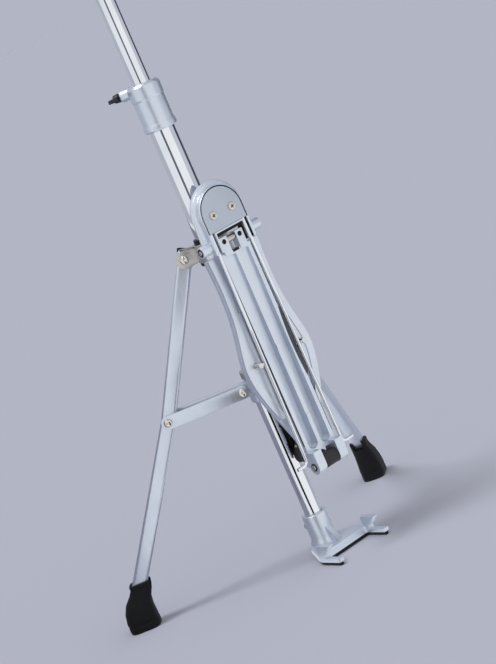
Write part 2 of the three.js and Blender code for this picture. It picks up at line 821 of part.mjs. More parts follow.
function footboard() {
  const forkInner = linkBlockHalfWidth + 2 * fit;
  const lobes = [-1, 1].flatMap((sign) => {
    const x0 = Math.min(sign * forkInner, sign * forkOuter);
    const x1 = Math.max(sign * forkInner, sign * forkOuter);
    return [
      bar(forkRadius, [x0, toeAxleY, toeAxleZ], [x1, toeAxleY, toeAxleZ]),
      box(x0, x1, toeAxleY - forkRadius, boardSkinY, toeAxleZ, boardBottomZ + forkRadius / 2),
    ];
  });
  const knuckles = [-1, 1].flatMap((sign) => {
    const x0 = Math.min(sign * knuckleInner, sign * knuckleOuter);
    const x1 = Math.max(sign * knuckleInner, sign * knuckleOuter);
    return [
      box(x0, x1, heelAxleY - knuckleHalf, heelAxleY + knuckleHalf, boardTopZ - overrun, heelAxleZ + knuckleHalf),
    ];
  });
  const bosses = ribBossShares.map((ribShare) => {
    const z = toeAxleZ + boardLength * ribShare;
    return bar(ribBossRadius, [0, boardFaceY - ribBossHeight, z], [0, boardFaceY + overrun, z], smallSides);
  });
  const knuckleHoles = [-1, 1].map((sign) => {
    const x = (sign * (knuckleInner + knuckleOuter)) / 2;
    const y = heelAxleY - knuckleHalf;
    return bar(knuckleHoleRadius, [x, y - overrun, heelAxleZ], [x, y + knuckleHoleDepth, heelAxleZ], smallSides);
  });
  return combine([
    footboardPlate(),
    ...footboardRims(),
    box(-boardHalfWidth, boardHalfWidth, boardFaceY, boardSkinY + boardSkin / 2, boardBottomZ, boardTopZ),
    ...lobes,
    ...knuckles,
    ...bosses,
  ], [
    ...footboardPockets(),
    ...knuckleHoles,
    axleHole(toeAxleRadius, toeAxleHalf, toeAxleY, toeAxleZ),
    axleHole(heelAxleRadius, heelAxleHalf, heelAxleY, heelAxleZ),
  ]);
}

function wireClip(sign) {
  const base = boardSkinY - fit;
  const wireX = wireTopX + ((wireToeX - wireTopX) * (coverBottomZ - clipZ)) / (coverBottomZ - wireToeZ);
  const tip = sign * (wireX + wireRadius + fit);
  const root = sign * clipX;
  return combine([
    bar(clipRadius, [root, clipTipY, clipZ], [root, base, clipZ], smallSides),
    box(Math.min(tip, root), Math.max(tip, root), wireY - clipNose, wireY + clipNose, clipZ - clipNose, clipZ + clipNose),
  ]);
}

// Heel plate
function archOutline(half, foot, bottom) {
  const points = [[foot, bottom]];
  for (let i = 0; i <= 2 * arcSteps; i += 1) {
    const angle = (Math.PI * i) / (2 * arcSteps);
    points.push([half * Math.cos(angle), heelArchZ + half * Math.sin(angle)]);
  }
  points.push([-foot, bottom]);
  return points;
}

function heelPlate() {
  const front = archOutline(heelFrontHalf, heelFrontHalf, heelArmBottomZ);
  const back = archOutline(heelBackHalf, heelFootHalf, heelArmBottomZ);
  const body = skinned([
    front.map(([x, z]) => new THREE.Vector3(x, heelFrontY, z)),
    back.map(([x, z]) => new THREE.Vector3(x, heelBackY, z)),
  ]);
  const bosses = [-1, 1].map((sign) => {
    return bar(heelBossRadius, [sign * heelBossInner, heelAxleY, heelAxleZ], [sign * heelBossOuter, heelAxleY, heelAxleZ]);
  });
  const recess = shapeOf(archOutline(coverHalf + fit, coverHalf + fit, coverBottomZ - fit));
  const grooveHalf = wireRadius + fit;
  const grooveDepth = wireY + wireRadius + fit;
  const inner = archOutline(wireTopX - grooveHalf, wireTopX - grooveHalf, heelArmBottomZ - overrun);
  const groove = shapeOf(archOutline(wireTopX + grooveHalf, wireTopX + grooveHalf, heelArmBottomZ - overrun));
  groove.holes.push(new THREE.Path(inner.map(([x, z]) => new THREE.Vector2(x, z + overrun / 2))));
  const screwHoles = [-1, 1].map((sign) => {
    const x = sign * coverScrewX;
    return bar(setScrewRadius, [x, heelFrontY, coverScrewZ], [x, heelBackY - wireRadius, coverScrewZ], smallSides);
  });
  const grooveSides = [-1, 1].map((sign) => box(
    sign * wireTopX - grooveHalf,
    sign * wireTopX + grooveHalf,
    heelFrontY - overrun,
    grooveDepth,
    heelArmBottomZ - overrun,
    heelArchZ,
  ));
  const archGroove = turned([
    [wireTopX - grooveHalf, heelFrontY - overrun],
    [wireTopX + grooveHalf, heelFrontY - overrun],
    [wireTopX + grooveHalf, grooveDepth],
    [wireTopX - grooveHalf, grooveDepth],
    [wireTopX - grooveHalf, heelFrontY - overrun],
  ], tubeSides).rotateX(-Math.PI / 2);
  const upperHalf = box(-wingHalfWidth, wingHalfWidth, heelFrontY - overrun, grooveDepth, heelArchZ, heelArchZ + wingHalfWidth);
  const arch = common(archGroove.translate(0, 0, heelArchZ), upperHalf);
  return combine([body, ...bosses], [
    slabXZ(recess, heelFrontY - overrun, heelFrontY + coverThickness + fit),
    ...grooveSides,
    arch,
    ...screwHoles,
    box(-heelWindowHalf, heelWindowHalf, heelFrontY - overrun, heelBackY + overrun, heelArmBottomZ - overrun, heelWindowTopZ),
    axleHole(heelAxleRadius, heelAxleHalf, heelAxleY, heelAxleZ),
  ]);
}

function heelCover() {
  const outline = shapeOf(archOutline(coverHalf, coverHalf, coverBottomZ));
  return slabXZ(outline, heelFrontY, heelFrontY + coverThickness);
}

function coverScrew(sign) {
  const x = sign * coverScrewX;
  const top = heelFrontY - fit;
  return bar(coverScrewRadius, [x, top, coverScrewZ], [x, top - coverScrewHeight, coverScrewZ], smallSides);
}

function radiusRod() {
  const half = [];
  half.push(new THREE.Vector3(wireTipX, wireY, wireToeZ));
  for (let i = 0; i <= wireBendSteps; i += 1) {
    const angle = (Math.PI / 2) * (i / wireBendSteps);
    half.push(new THREE.Vector3(
      wireToeX + wireBend - wireBend * Math.sin(angle),
      wireY,
      wireToeZ + wireBend - wireBend * Math.cos(angle),
    ));
  }
  half.push(new THREE.Vector3(wireTopX, wireY, coverBottomZ));
  for (let i = 0; i < arcSteps; i += 1) {
    const angle = (Math.PI / 2) * (i / arcSteps);
    half.push(new THREE.Vector3(wireTopX * Math.cos(angle), wireY, heelArchZ + wireTopX * Math.sin(angle)));
  }
  const top = new THREE.Vector3(0, wireY, heelArchZ + wireTopX);
  const mirrored = half.map((point) => new THREE.Vector3(-point.x, point.y, point.z)).reverse();
  return wire([...half, top, ...mirrored], wireRadius, wireSides);
}

// Leg collar
function collarScrewBar(radius, reach) {
  return bar(radius, [0, 0, collarPivotZ], [0, reach, collarPivotZ], smallSides);
}

function legCollar() {
  const bottom = collarPivotZ - collarHeight / 2;
  const top = collarPivotZ + collarHeight / 2;
  const bossEnd = collarRadius + collarBossReach;
  const ears = [-1, 1].flatMap((side) => [-1, 1].map((face) => {
    const inner = face * (legHalfWidth + fit);
    const outer = face * (legHalfWidth + fit + barThickness);
    const shape = stadium(0, collarPivotZ, pivotRadius, collarPivotZ, collarHeight / 2);
    const plate = slabXZ(shape, Math.min(inner, outer), Math.max(inner, outer));
    return plate.rotateZ((90 - side * legFromBackDegrees) * degree);
  }));
  const holes = [-1, 1].map((side) => {
    const hole = bar(rivetShankRadius + fit, [pivotRadius, -legWidth, collarPivotZ], [pivotRadius, legWidth, collarPivotZ], smallSides);
    return hole.rotateZ((90 - side * legFromBackDegrees) * degree);
  });
  return combine([
    bar(collarRadius, [0, 0, bottom], [0, 0, top], tubeSides),
    collarScrewBar(collarBossRadius, bossEnd),
    ...ears,
  ], [
    bar(collarBore, [0, 0, bottom - overrun], [0, 0, top + overrun], tubeSides),
    collarScrewBar(wingShankRadius + fit, bossEnd + overrun),
    ...holes,
  ]);
}

function collarLiner() {
  const bottom = collarPivotZ - collarHeight / 2 - fit;
  const top = collarPivotZ + collarHeight / 2 + linerRise;
  const inner = tubeRadius + fit;
  const outer = inner + linerWall;
  const body = turned([
    [inner, bottom - linerOver],
    [outer + linerFlange, bottom - linerOver],
    [outer + linerFlange, bottom],
    [outer, bottom],
    [outer, top],
    [inner, top],
    [inner, bottom - linerOver],
  ], tubeSides);
  return combine([body], [collarScrewBar(wingShankRadius + fit, collarRadius)]);
}

// One leg with its foot, stay and rivets, in a frame whose +X points outward from the tube
function legPath() {
  const along = new THREE.Vector3(Math.sin(upperLegAngle), 0, -Math.cos(upperLegAngle));
  const below = new THREE.Vector3(Math.sin(lowerLegAngle), 0, -Math.cos(lowerLegAngle));
  const pivot = new THREE.Vector3(pivotRadius, 0, collarPivotZ);
  const elbow = new THREE.Vector3(elbowRadius, 0, stayZ);
  const start = pivot.clone().addScaledVector(along, -legOverPivot);
  const end = elbow.clone().addScaledVector(below, (stayZ - legEndZ) / Math.cos(lowerLegAngle));
  return { along, below, start, elbow, end };
}

function legRings(grow) {
  const { along, below, start, elbow, end } = legPath();
  const section = roundedRing(legHalfDepth + grow, legHalfWidth + grow, legCorner + grow, legCornerSteps);
  const tangential = new THREE.Vector3(0, 1, 0);
  const bend = along.clone().add(below).normalize();
  const stations = [[start, along, 1], [elbow, bend, 1 / bend.dot(along)], [end, below, 1]];
  return stations.map(([centre, direction, stretch]) => {
    const normal = new THREE.Vector3().crossVectors(direction, tangential).normalize();
    return section.map(([a, b]) => centre.clone()
      .addScaledVector(normal, a * stretch)
      .addScaledVector(tangential, b));
  });
}

function legTube() {
  const outer = legRings(0);
  const inner = legRings(-legWall).reverse();
  const hole = bar(rivetShankRadius + fit, [pivotRadius, -legWidth, collarPivotZ], [pivotRadius, legWidth, collarPivotZ], smallSides);
  return combine([skinned([...outer, ...inner], true)], [hole]);
}

function rubberFoot() {
  const rings = footHeightShares.map((heightShare, i) => {
    const swell = footSwellShares[i];
    const halfDepth = footTopHalfDepth + (footSoleHalfDepth - footTopHalfDepth) * swell;
    const halfWidth = footTopHalfWidth + (footSoleHalfWidth - footTopHalfWidth) * swell;
    const centre = footTopRadius + (footSoleRadius - footTopRadius) * footShiftShares[i];
    const corner = footCornerShare * halfWidth;
    return roundedRing(halfDepth, halfWidth, corner, footCornerSteps).map(([x, y]) => new THREE.Vector3(centre + x, y, footHeight * heightShare));
  });
  const { below, elbow } = legPath();
  const socket = legRings(fit);
  const depth = (stayZ - legEndZ) / Math.cos(lowerLegAngle) + fit;
  const deepest = elbow.clone().addScaledVector(below, depth);
  const shift = deepest.sub(legPath().end);
  const lengthened = [socket[0], socket[1], socket[2].map((point) => point.clone().add(shift))];
  return combine([skinned(rings)], [skinned(lengthened)]);
}

function stayBar(face) {
  const inner = face * (legHalfWidth + fit);
  const outer = face * (legHalfWidth + fit + barThickness);
  const shape = stadium(pivotRadius, stayZ, elbowRadius, stayZ, barWidth / 2);
  const plate = slabXZ(shape, Math.min(inner, outer), Math.max(inner, outer));
  const holes = [pivotRadius, elbowRadius].map((x) => {
    return bar(rivetShankRadius + fit, [x, -legWidth, stayZ], [x, legWidth, stayZ], smallSides);
  });
  return combine([plate], holes);
}

// Rivet through both plates, or one short rivet in one plate
function longRivet(radius, z) {
  const face = legHalfWidth + fit + barThickness + fit;
  const upper = [[rivetShankRadius, face], ...rivetDome(face)];
  const lower = upper.map(([across, height]) => [across, -height]).reverse();
  return turned([...lower, ...upper], smallSides).rotateX(-Math.PI / 2).translate(radius, 0, z);
}

function shortRivet(face, radius, z) {
  const height = legHalfWidth + fit + barThickness + fit;
  const tip = height - fit - barThickness;
  const head = turned([[0, tip], [rivetShankRadius, tip], [rivetShankRadius, height], ...rivetDome(height)], smallSides);
  return head.rotateX(face > 0 ? -Math.PI / 2 : Math.PI / 2).translate(radius, 0, z);
}

// Upper tube top: tilter, seat and felt
const tilterBottomZ = upperTopZ - tilterHeight + tilterTop + fit;
const tilterTopZ = tilterBottomZ + tilterHeight;
const tilterRadius = upperRadius + fit + tilterWall;
const seatZ = tilterTopZ + tilterRidge + fit;
const tiltScrewX = -tilterArmReach + tilterArmHalfWidth;

function tilterBase() {
  const armBottom = tilterTopZ - tilterArmThickness;
  return combine([
    bar(tilterRadius, [0, 0, tilterBottomZ], [0, 0, tilterTopZ]),
    slabXY(stadium(tiltScrewX, 0, 0, 0, tilterArmHalfWidth), armBottom, tilterTopZ),
    box(tilterRidgeX - tilterRidgeHalf, tilterRidgeX + tilterRidgeHalf, -tilterArmHalfWidth, tilterArmHalfWidth, armBottom, tilterTopZ + tilterRidge),
  ], [
    bar(upperRadius + fit, [0, 0, tilterBottomZ - overrun], [0, 0, upperTopZ + fit]),
    bar(rodRadius + overrun, [0, 0, tilterBottomZ], [0, 0, tilterTopZ + overrun], smallSides),
    bar(tiltShankRadius + fit, [tiltScrewX, 0, armBottom - overrun], [tiltScrewX, 0, tilterTopZ + overrun], smallSides),
  ]);
}

function seatPlate() {
  const top = seatZ + seatThickness;
  const sleeve = seatBoreRadius + seatSleeveWall;
  return turned([
    [seatBoreRadius, seatZ],
    [seatRadius, seatZ],
    [seatRadius, top],
    [sleeve, top],
    [sleeve, top + seatSleeveHeight],
    [seatBoreRadius, top + seatSleeveHeight],
    [seatBoreRadius, seatZ],
  ], tubeSides);
}

function seatFelt() {
  const bottom = seatZ + seatThickness + fit;
  return tube(seatBoreRadius + seatSleeveWall + fit, seatFeltRadius, bottom, bottom + seatFeltHeight);
}

function tilterScrew() {
  const knobTop = tilterTopZ - tilterArmThickness - fit;
  return turned([
    [0, knobTop - tiltKnobHeight],
    [tiltKnobRadius, knobTop - tiltKnobHeight],
    [tiltKnobRadius, knobTop],
    [tiltShankRadius, knobTop],
    [tiltShankRadius, seatZ - fit],
    [0, seatZ - fit],
  ], smallSides);
}

// Clutch
const clutchHeadZ = clutchBottomZ + clutchSleeveLength;
const clutchLowerFeltZ = clutchBottomZ + 2 * fit + clutchNutHeight;
const clutchUpperFeltZ = clutchLowerFeltZ + clutchFeltHeight + clutchGap;
const clutchTopNutZ = clutchUpperFeltZ + clutchFeltHeight + fit;
const clutchScrewZ = clutchHeadZ + clutchHeadHeight / 2;

function clutchBody() {
  const hole = bar(wingShankRadius + fit, [0, 0, clutchScrewZ], [0, -clutchHeadRadius - overrun, clutchScrewZ], smallSides);
  const body = turned([
    [rodRadius + fit, clutchBottomZ],
    [clutchSleeveRadius, clutchBottomZ],
    [clutchSleeveRadius, clutchHeadZ],
    [clutchHeadRadius, clutchHeadZ],
    [clutchHeadRadius, clutchHeadZ + clutchHeadHeight],
    [rodRadius + fit, clutchHeadZ + clutchHeadHeight],
    [rodRadius + fit, clutchBottomZ],
  ]);
  return combine([body], [hole]);
}

function ringOnSleeve(z, height, radius) {
  return tube(clutchSleeveRadius + fit, radius, z, z + height);
}

function nutOnSleeve(z) {
  const top = z + clutchNutHeight;
  const bore = bar(clutchSleeveRadius + fit, [0, 0, z - overrun], [0, 0, top + overrun]);
  return combine([bar(clutchNutRadius, [0, 0, z], [0, 0, top], nutSides)], [bore]);
}

// Placing every piece
addMesh(part, 'main_tube', mainTube(), 'chrome');
addMesh(part, 'base_post', basePost(), 'chrome');
addMesh(part, 'lower_bracket', lowerBracket(), 'casting');
addMesh(part, 'bracket_set_screw', bracketScrew(), 'nickel');
addMesh(part, 'base_shoe', baseShoe(), 'casting');
addMesh(part, 'shoe_set_screw', shoeScrew(), 'nickel');
addMesh(part, 'base_pad', slabXY(shoeOutline(padInset), 0, padThickness), 'rubber');
addMesh(part, 'height_clamp', heightClamp(), 'casting');
addMesh(part, 'height_bush', heightBush(), 'blackNylon');
addMesh(part, 'rod_bush', tube(rodRadius + fit, tubeInner - fit, rodBushZ, rodBushZ + rodBushLength), 'blackNylon');
addMesh(part, 'return_spring', returnSpring(), 'darkSteel');

const heightScrew = addMesh(part, 'height_wing_screw', wingScrew(clampRadius + clampBossReach - upperRadius, wingSpan), 'darkSteel');
heightScrew.rotation.set(0, Math.PI / 2, 0);
const heightScrewTurn = new THREE.Group();
heightScrewTurn.rotation.z = clampTurn;
heightScrewTurn.position.z = clampScrewZ;
heightScrewTurn.add(heightScrew);
heightScrew.position.x = upperRadius + fit;
part.add(heightScrewTurn);

addMesh(part, 'leg_collar', legCollar(), 'steel');
addMesh(part, 'collar_liner', collarLiner(), 'blackNylon');
const collarScrewShank = collarRadius + collarScrewReach - tubeRadius;
const collarScrew = addMesh(part, 'collar_wing_screw', wingScrew(collarScrewShank, collarWingSpan), 'blackNylon');
collarScrew.rotation.set(-Math.PI / 2, collarWingDegrees * degree, 0, 'YXZ');
collarScrew.position.set(0, tubeRadius + fit, collarPivotZ);

for (const [side, sideName] of [[-1, 'left'], [1, 'right']]) {
  const group = new THREE.Group();
  group.rotation.z = (90 - side * legFromBackDegrees) * degree;
  part.add(group);
  addMesh(group, `${sideName}_leg`, legTube(), 'aluminium');
  addMesh(group, `${sideName}_foot`, rubberFoot(), 'rubber');
  addMesh(group, `${sideName}_leg_rivet`, longRivet(pivotRadius, collarPivotZ), 'nickel');
  addMesh(group, `${sideName}_stay_rivet`, longRivet(pivotRadius, stayZ), 'nickel');
  for (const [face, faceName] of [[side, 'front'], [-side, 'back']]) {
    addMesh(group, `${sideName}_${faceName}_stay`, stayBar(-face), 'aluminium');
    addMesh(group, `${sideName}_${faceName}_elbow_rivet`, shortRivet(-face, elbowRadius, stayZ), 'nickel');
  }
}

addMesh(part, 'upper_tube', tube(upperRadius - upperWall, upperRadius, upperBottomZ, upperTopZ), 'chrome');
addMesh(part, 'tilter_base', tilterBase(), 'casting');
addMesh(part, 'upper_rod_bush', tube(rodRadius + fit, upperRadius - upperWall - fit, upperTopZ - rodBushLength, upperTopZ), 'blackNylon');
addMesh(part, 'seat_plate', seatPlate(), 'blackNylon');
addMesh(part, 'seat_felt', seatFelt(), 'felt');
addMesh(part, 'tilter_screw', tilterScrew(), 'nickel').position.x = tiltScrewX;

addMesh(part, 'pull_rod', bar(rodRadius, [0, 0, rodBottomZ], [0, 0, rodTopZ], smallSides), 'chrome');
const springSeatZ = rodBushZ + rodBushLength + springLength;
addMesh(part, 'spring_seat', tube(rodRadius + fit, springSeatRadius, springSeatZ, springSeatZ + springSeatHeight), 'nickel');
addMesh(part, 'rod_end', rodEnd(), 'darkSteel');
addMesh(part, 'drive_pin', bar(pinRadius, [-pinHalfLength, 0, pinZ], [pinHalfLength, 0, pinZ], smallSides), 'darkSteel');
addMesh(part, 'drive_link', driveLink(), 'blackNylon');
addMesh(part, 'link_screw', linkScrew(), 'nickel');

addMesh(part, 'footboard', footboard(), 'casting');
addMesh(part, 'toe_axle', bar(toeAxleRadius, [-toeAxleHalf, toeAxleY, toeAxleZ], [toeAxleHalf, toeAxleY, toeAxleZ], smallSides), 'nickel');
addMesh(part, 'heel_axle', bar(heelAxleRadius, [-heelAxleHalf, heelAxleY, heelAxleZ], [heelAxleHalf, heelAxleY, heelAxleZ], smallSides), 'nickel');
addMesh(part, 'left_wire_clip', wireClip(-1), 'steel');
addMesh(part, 'right_wire_clip', wireClip(1), 'steel');
addMesh(part, 'heel_plate', heelPlate(), 'casting');
addMesh(part, 'heel_cover', heelCover(), 'cover');
addMesh(part, 'left_cover_screw', coverScrew(-1), 'nickel');
addMesh(part, 'right_cover_screw', coverScrew(1), 'nickel');
addMesh(part, 'radius_rod', radiusRod(), 'chrome');

addMesh(part, 'clutch_body', clutchBody(), 'chrome');
addMesh(part, 'clutch_bottom_nut', nutOnSleeve(clutchBottomZ + fit), 'chrome');
addMesh(part, 'clutch_lower_felt', ringOnSleeve(clutchLowerFeltZ, clutchFeltHeight, clutchFeltRadius), 'felt');
addMesh(part, 'clutch_upper_felt', ringOnSleeve(clutchUpperFeltZ, clutchFeltHeight, clutchFeltRadius), 'felt');
addMesh(part, 'clutch_top_nut', nutOnSleeve(clutchTopNutZ), 'chrome');
const clutchScrew = addMesh(part, 'clutch_wing_screw', wingScrew(clutchHeadRadius - rodRadius, clutchWingSpan), 'darkSteel');
clutchScrew.rotation.x = Math.PI / 2;
clutchScrew.position.set(0, -rodRadius - fit, clutchScrewZ);

export default part;
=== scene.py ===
"""Dresses a folded hi-hat stand: chromed tubes, cast pedal, anodised legs, felts and rubber.

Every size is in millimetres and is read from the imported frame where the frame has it. The object
stands on z = 0 with the pedal on the -Y side.
"""

import json
import logging
import math
from dataclasses import dataclass, field
from enum import Enum
from typing import Callable, Iterable, Optional, Sequence

import bmesh
import bpy
from mathutils import Matrix, Vector

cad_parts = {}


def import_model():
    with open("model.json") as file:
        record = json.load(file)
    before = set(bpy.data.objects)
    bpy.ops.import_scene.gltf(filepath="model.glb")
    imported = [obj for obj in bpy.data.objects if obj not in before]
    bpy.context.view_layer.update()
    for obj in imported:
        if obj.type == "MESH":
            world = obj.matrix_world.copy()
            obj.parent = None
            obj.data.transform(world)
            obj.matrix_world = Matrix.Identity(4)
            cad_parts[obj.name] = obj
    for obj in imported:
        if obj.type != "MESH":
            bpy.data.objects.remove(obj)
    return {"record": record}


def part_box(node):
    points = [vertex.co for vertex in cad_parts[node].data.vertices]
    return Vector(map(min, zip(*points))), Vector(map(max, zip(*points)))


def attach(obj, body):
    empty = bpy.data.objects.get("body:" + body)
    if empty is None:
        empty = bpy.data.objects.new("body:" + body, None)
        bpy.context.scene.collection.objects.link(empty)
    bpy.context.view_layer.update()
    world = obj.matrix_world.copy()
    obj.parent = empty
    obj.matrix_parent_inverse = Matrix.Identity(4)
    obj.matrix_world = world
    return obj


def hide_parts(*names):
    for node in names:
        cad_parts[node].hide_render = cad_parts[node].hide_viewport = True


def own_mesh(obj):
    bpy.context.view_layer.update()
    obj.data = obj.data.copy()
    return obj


LOG = logging.getLogger("hi_hat_stand")
MM = 0.001
# Facets round large and small turned parts
ROUND, SMALL_ROUND = 96, 40
# How far a cutter reaches beyond what it cuts
OVERRUN = 2.0
# Points of a mesh that are closer than this are one
WELD = 0.0005
SIGNS = (-1, 1)
SIDES = tuple(zip(SIGNS, ("left", "right")))

Point = tuple[float, float]
Triple = Sequence[float]
Profile = Sequence[Sequence[float]]
Piece, Material = bpy.types.Object, bpy.types.Material
Tree, Node, Socket = bpy.types.NodeTree, bpy.types.Node, bpy.types.NodeSocket


# Meshes


class Plane(Enum):
    """The plane that a flat outline is drawn in; the third axis is its depth."""

    XY = ((1, 0, 0), (0, 1, 0), (0, 0, 1))
    XZ = ((1, 0, 0), (0, 0, 1), (0, 1, 0))
    YZ = ((0, 1, 0), (0, 0, 1), (1, 0, 0))

    def place(self, a: float, b: float, depth: float) -> Vector:
        """Returns the point at (a, b) of the outline, that deep."""
        first, second, third = (Vector(axis) for axis in self.value)
        return first * a + second * b + third * depth


def linked(name: str, data: bpy.types.ID) -> Piece:
    """Returns a new object with that mesh, camera or lamp, linked to the scene."""
    obj = bpy.data.objects.new(name, data)
    bpy.context.scene.collection.objects.link(obj)
    return obj


def link_mesh(name: str, bm: bmesh.types.BMesh) -> Piece:
    """Turns a mesh in millimetres into a linked object in metres, faces outward."""
    bmesh.ops.remove_doubles(bm, verts=bm.verts, dist=WELD)
    bmesh.ops.recalc_face_normals(bm, faces=bm.faces)
    bm.transform(Matrix.Scale(MM, 4))
    mesh = bpy.data.meshes.new(name)
    bm.to_mesh(mesh)
    bm.free()
    return linked(name, mesh)


def loft(name: str, rings: Sequence[Sequence[Vector]], loop: bool = False) -> Piece:
    """Skins rings of equal length, with end faces unless the last joins the first.

    Args:
        name: The object's name.
        rings: Rings of points in millimetres.
        loop: Whether the last ring joins the first.

    Returns:
        The object.
    """
    bm = bmesh.new()
    made = [[bm.verts.new(point) for point in ring] for ring in rings]
    count = len(made[0])
    for ring, following in zip(made, made[1:] + made[:1] if loop else made[1:]):
        for i in range(count):
            j = (i + 1) % count
            bm.faces.new((ring[i], ring[j], following[j], following[i]))
    if not loop:
        bm.faces.new(made[0])
        bm.faces.new(made[-1])
    return link_mesh(name, bm)


def arc(centre: Point, radius: float, first: float, sweep: float, steps: int) -> list[Point]:
    """Returns the points of an arc, one more than it has steps, from an angle through a sweep."""
    angles = (first + sweep * k / steps for k in range(steps + 1))
    return [(centre[0] + radius * math.cos(a), centre[1] + radius * math.sin(a)) for a in angles]


def eased(points: Profile, radius: float, closed: bool = True, steps: int = 4) -> list[Point]:
    """Rounds the corners of an outline.

    Args:
        points: Outline points; a third value is that corner's own radius.
        radius: How far each rounding reaches along its sides.
        closed: Whether the last point joins the first.
        steps: Segments of each rounding.

    Returns:
        The outline with each corner replaced by a short curve.
    """
    made: list[Point] = []
    count = len(points)
    for i, corner in enumerate(points):
        own = corner[2] if len(corner) > 2 else radius
        here = Vector(corner[:2])
        if own <= 0 or (not closed and i in (0, count - 1)):
            made.append((here.x, here.y))
            continue
        before = Vector(points[i - 1][:2]) - here
        after = Vector(points[(i + 1) % count][:2]) - here
        reach = min(own, before.length * 0.48, after.length * 0.48)
        start = here + before.normalized() * reach
        end = here + after.normalized() * reach
        for t in (k / steps for k in range(steps + 1)):
            point = start * (1 - t) ** 2 + here * (2 * t * (1 - t)) + end * t * t
            made.append((point.x, point.y))
    return made


def turned(
    name: str, profile: Profile, centre: Point = (0.0, 0.0), ease: float = 0.0, sides: int = ROUND,
) -> Piece:
    """Makes a solid of revolution about a vertical axis.

    Args:
        name: The object's name.
        profile: Points of (radius, z), from axis to axis or closing on itself.
        centre: The axis, as (x, y).
        ease: How far each corner is rounded.
        sides: Facets round the axis.

    Returns:
        The object.
    """
    closed = profile[0][0] > 0
    outline = eased(profile, ease, closed) if ease > 0 else [tuple(p[:2]) for p in profile]
    bm = bmesh.new()
    rings = []
    for radius, z in outline:
        if radius < 1e-6:
            rings.append([bm.verts.new((*centre, z))])
        else:
            circle = arc(centre, radius, 0.0, 2 * math.pi, sides)[:-1]
            rings.append([bm.verts.new((x, y, z)) for x, y in circle])
    pairs = list(zip(rings, rings[1:]))
    if closed:
        pairs.append((rings[-1], rings[0]))
    for low, high in pairs:
        for k in range(sides):
            j = (k + 1) % sides
            corners = ((low, k), (low, j), (high, j), (high, k))
            distinct = list(dict.fromkeys(ring[i % len(ring)] for ring, i in corners))
            if len(distinct) > 2:
                bm.faces.new(distinct)
    return link_mesh(name, bm)


def ring_profile(inner: float, outer: float, low: float, high: float) -> list[Point]:
    """Returns the closed profile of a plain ring."""
    return [(inner, low), (outer, low), (outer, high), (inner, high)]


def disc_profile(radius: float, low: float, high: float) -> list[Point]:
    """Returns the profile of a plain disc or bar, from axis to axis."""
    return [(0, low), (radius, low), (radius, high), (0, high)]


def aimed(obj: Piece, towards: Triple, at: Triple) -> Piece:
    """Turns a mesh's +Z towards a direction, then moves its own origin to a point."""
    turn = Vector(towards).normalized().to_track_quat("Z", "X").to_matrix().to_4x4()
    return moved(obj, Matrix.Translation(Vector(at) * MM) @ turn)


def moved(obj: Piece, *steps: Matrix) -> Piece:
    """Applies one matrix after another to a mesh's own data and returns the object."""
    for step in steps:
        obj.data.transform(step)
    return obj


def bar(
    name: str, radius: float, start: Triple, end: Triple, ease: float = 0.0,
    sides: int = SMALL_ROUND,
) -> Piece:
    """Makes a round bar between two points, its end edges rounded by ease."""
    along = Vector(end) - Vector(start)
    made = turned(name, disc_profile(radius, 0, along.length), ease=ease, sides=sides)
    return aimed(made, along, start)


def upright(radius: float, low: float, high: float, y: float = 0.0) -> Piece:
    """Makes a large bore's cutter, which stands on the plane x = 0."""
    return bar("bore", radius, (0, y, low), (0, y, high), sides=ROUND)


def knurled(
    name: str, centre: Point, levels: Profile, period: int, depth: float, sides: int
) -> Piece:
    """Makes a knob or ring with grooves down its side.

    Args:
        name: The object's name.
        centre: Its axis, as (x, y).
        levels: Points of (radius, z) up its side.
        period: Facets from one groove to the next, half of them in the groove.
        depth: Depth of the grooves, as a share of the radius.
        sides: Facets round it.

    Returns:
        The object.
    """
    rings = []
    for radius, z in levels:
        ring = []
        for k in range(sides):
            turn = 2 * math.pi * k / sides
            reach = radius * (1 - depth * (k % period >= period / 2))
            x, y = centre[0] + reach * math.cos(turn), centre[1] + reach * math.sin(turn)
            ring.append(Vector((x, y, z)))
        rings.append(ring)
    return loft(name, rings)


def prism(name: str, outline: Sequence[Point], plane: Plane, low: float, high: float) -> Piece:
    """Extrudes a flat outline, drawn in that plane, between two depths."""
    depths = sorted((low, high))
    return loft(name, [[plane.place(a, b, depth) for a, b in outline] for depth in depths])


def block(name: str, one: Triple, other: Triple) -> Piece:
    """Makes a box between two opposite corners."""
    (x, far_x), (y, far_y), (z, far_z) = (sorted(pair) for pair in zip(one, other))
    return prism(name, [(x, y), (far_x, y), (far_x, far_y), (x, far_y)], Plane.XY, z, far_z)


def stadium(start: Point, end: Point, radius: float, far: Optional[float] = None) -> list[Point]:
    """Returns an outline with round ends about two points.

    Args:
        start: The first centre.
        end: The second centre.
        radius: The radius at the first centre.
        far: The radius at the second centre, where it differs.

    Returns:
        The outline.
    """
    heading, steps = math.atan2(end[1] - start[1], end[0] - start[0]), 20
    return [
        *arc(end, far or radius, heading - math.pi / 2, math.pi, steps),
        *arc(start, radius, heading + math.pi / 2, math.pi, steps),
    ]


def curve_through(points: Sequence[Point], steps: int) -> list[Point]:
    """Returns a smooth curve through points, with steps segments between neighbours."""
    made = []
    last = len(points) - 1
    for i in range(last):
        p0, p1, p2, p3 = (Vector(points[min(max(i + k, 0), last)]) for k in (-1, 0, 1, 2))
        for t in (k / steps for k in range(steps)):
            point = 0.5 * (
                2 * p1 + (p2 - p0) * t + (2 * p0 - 5 * p1 + 4 * p2 - p3) * t * t
                + (3 * p1 - p0 - 3 * p2 + p3) * t ** 3
            )
            made.append((point.x, point.y))
    made.append(tuple(points[-1]))
    return made


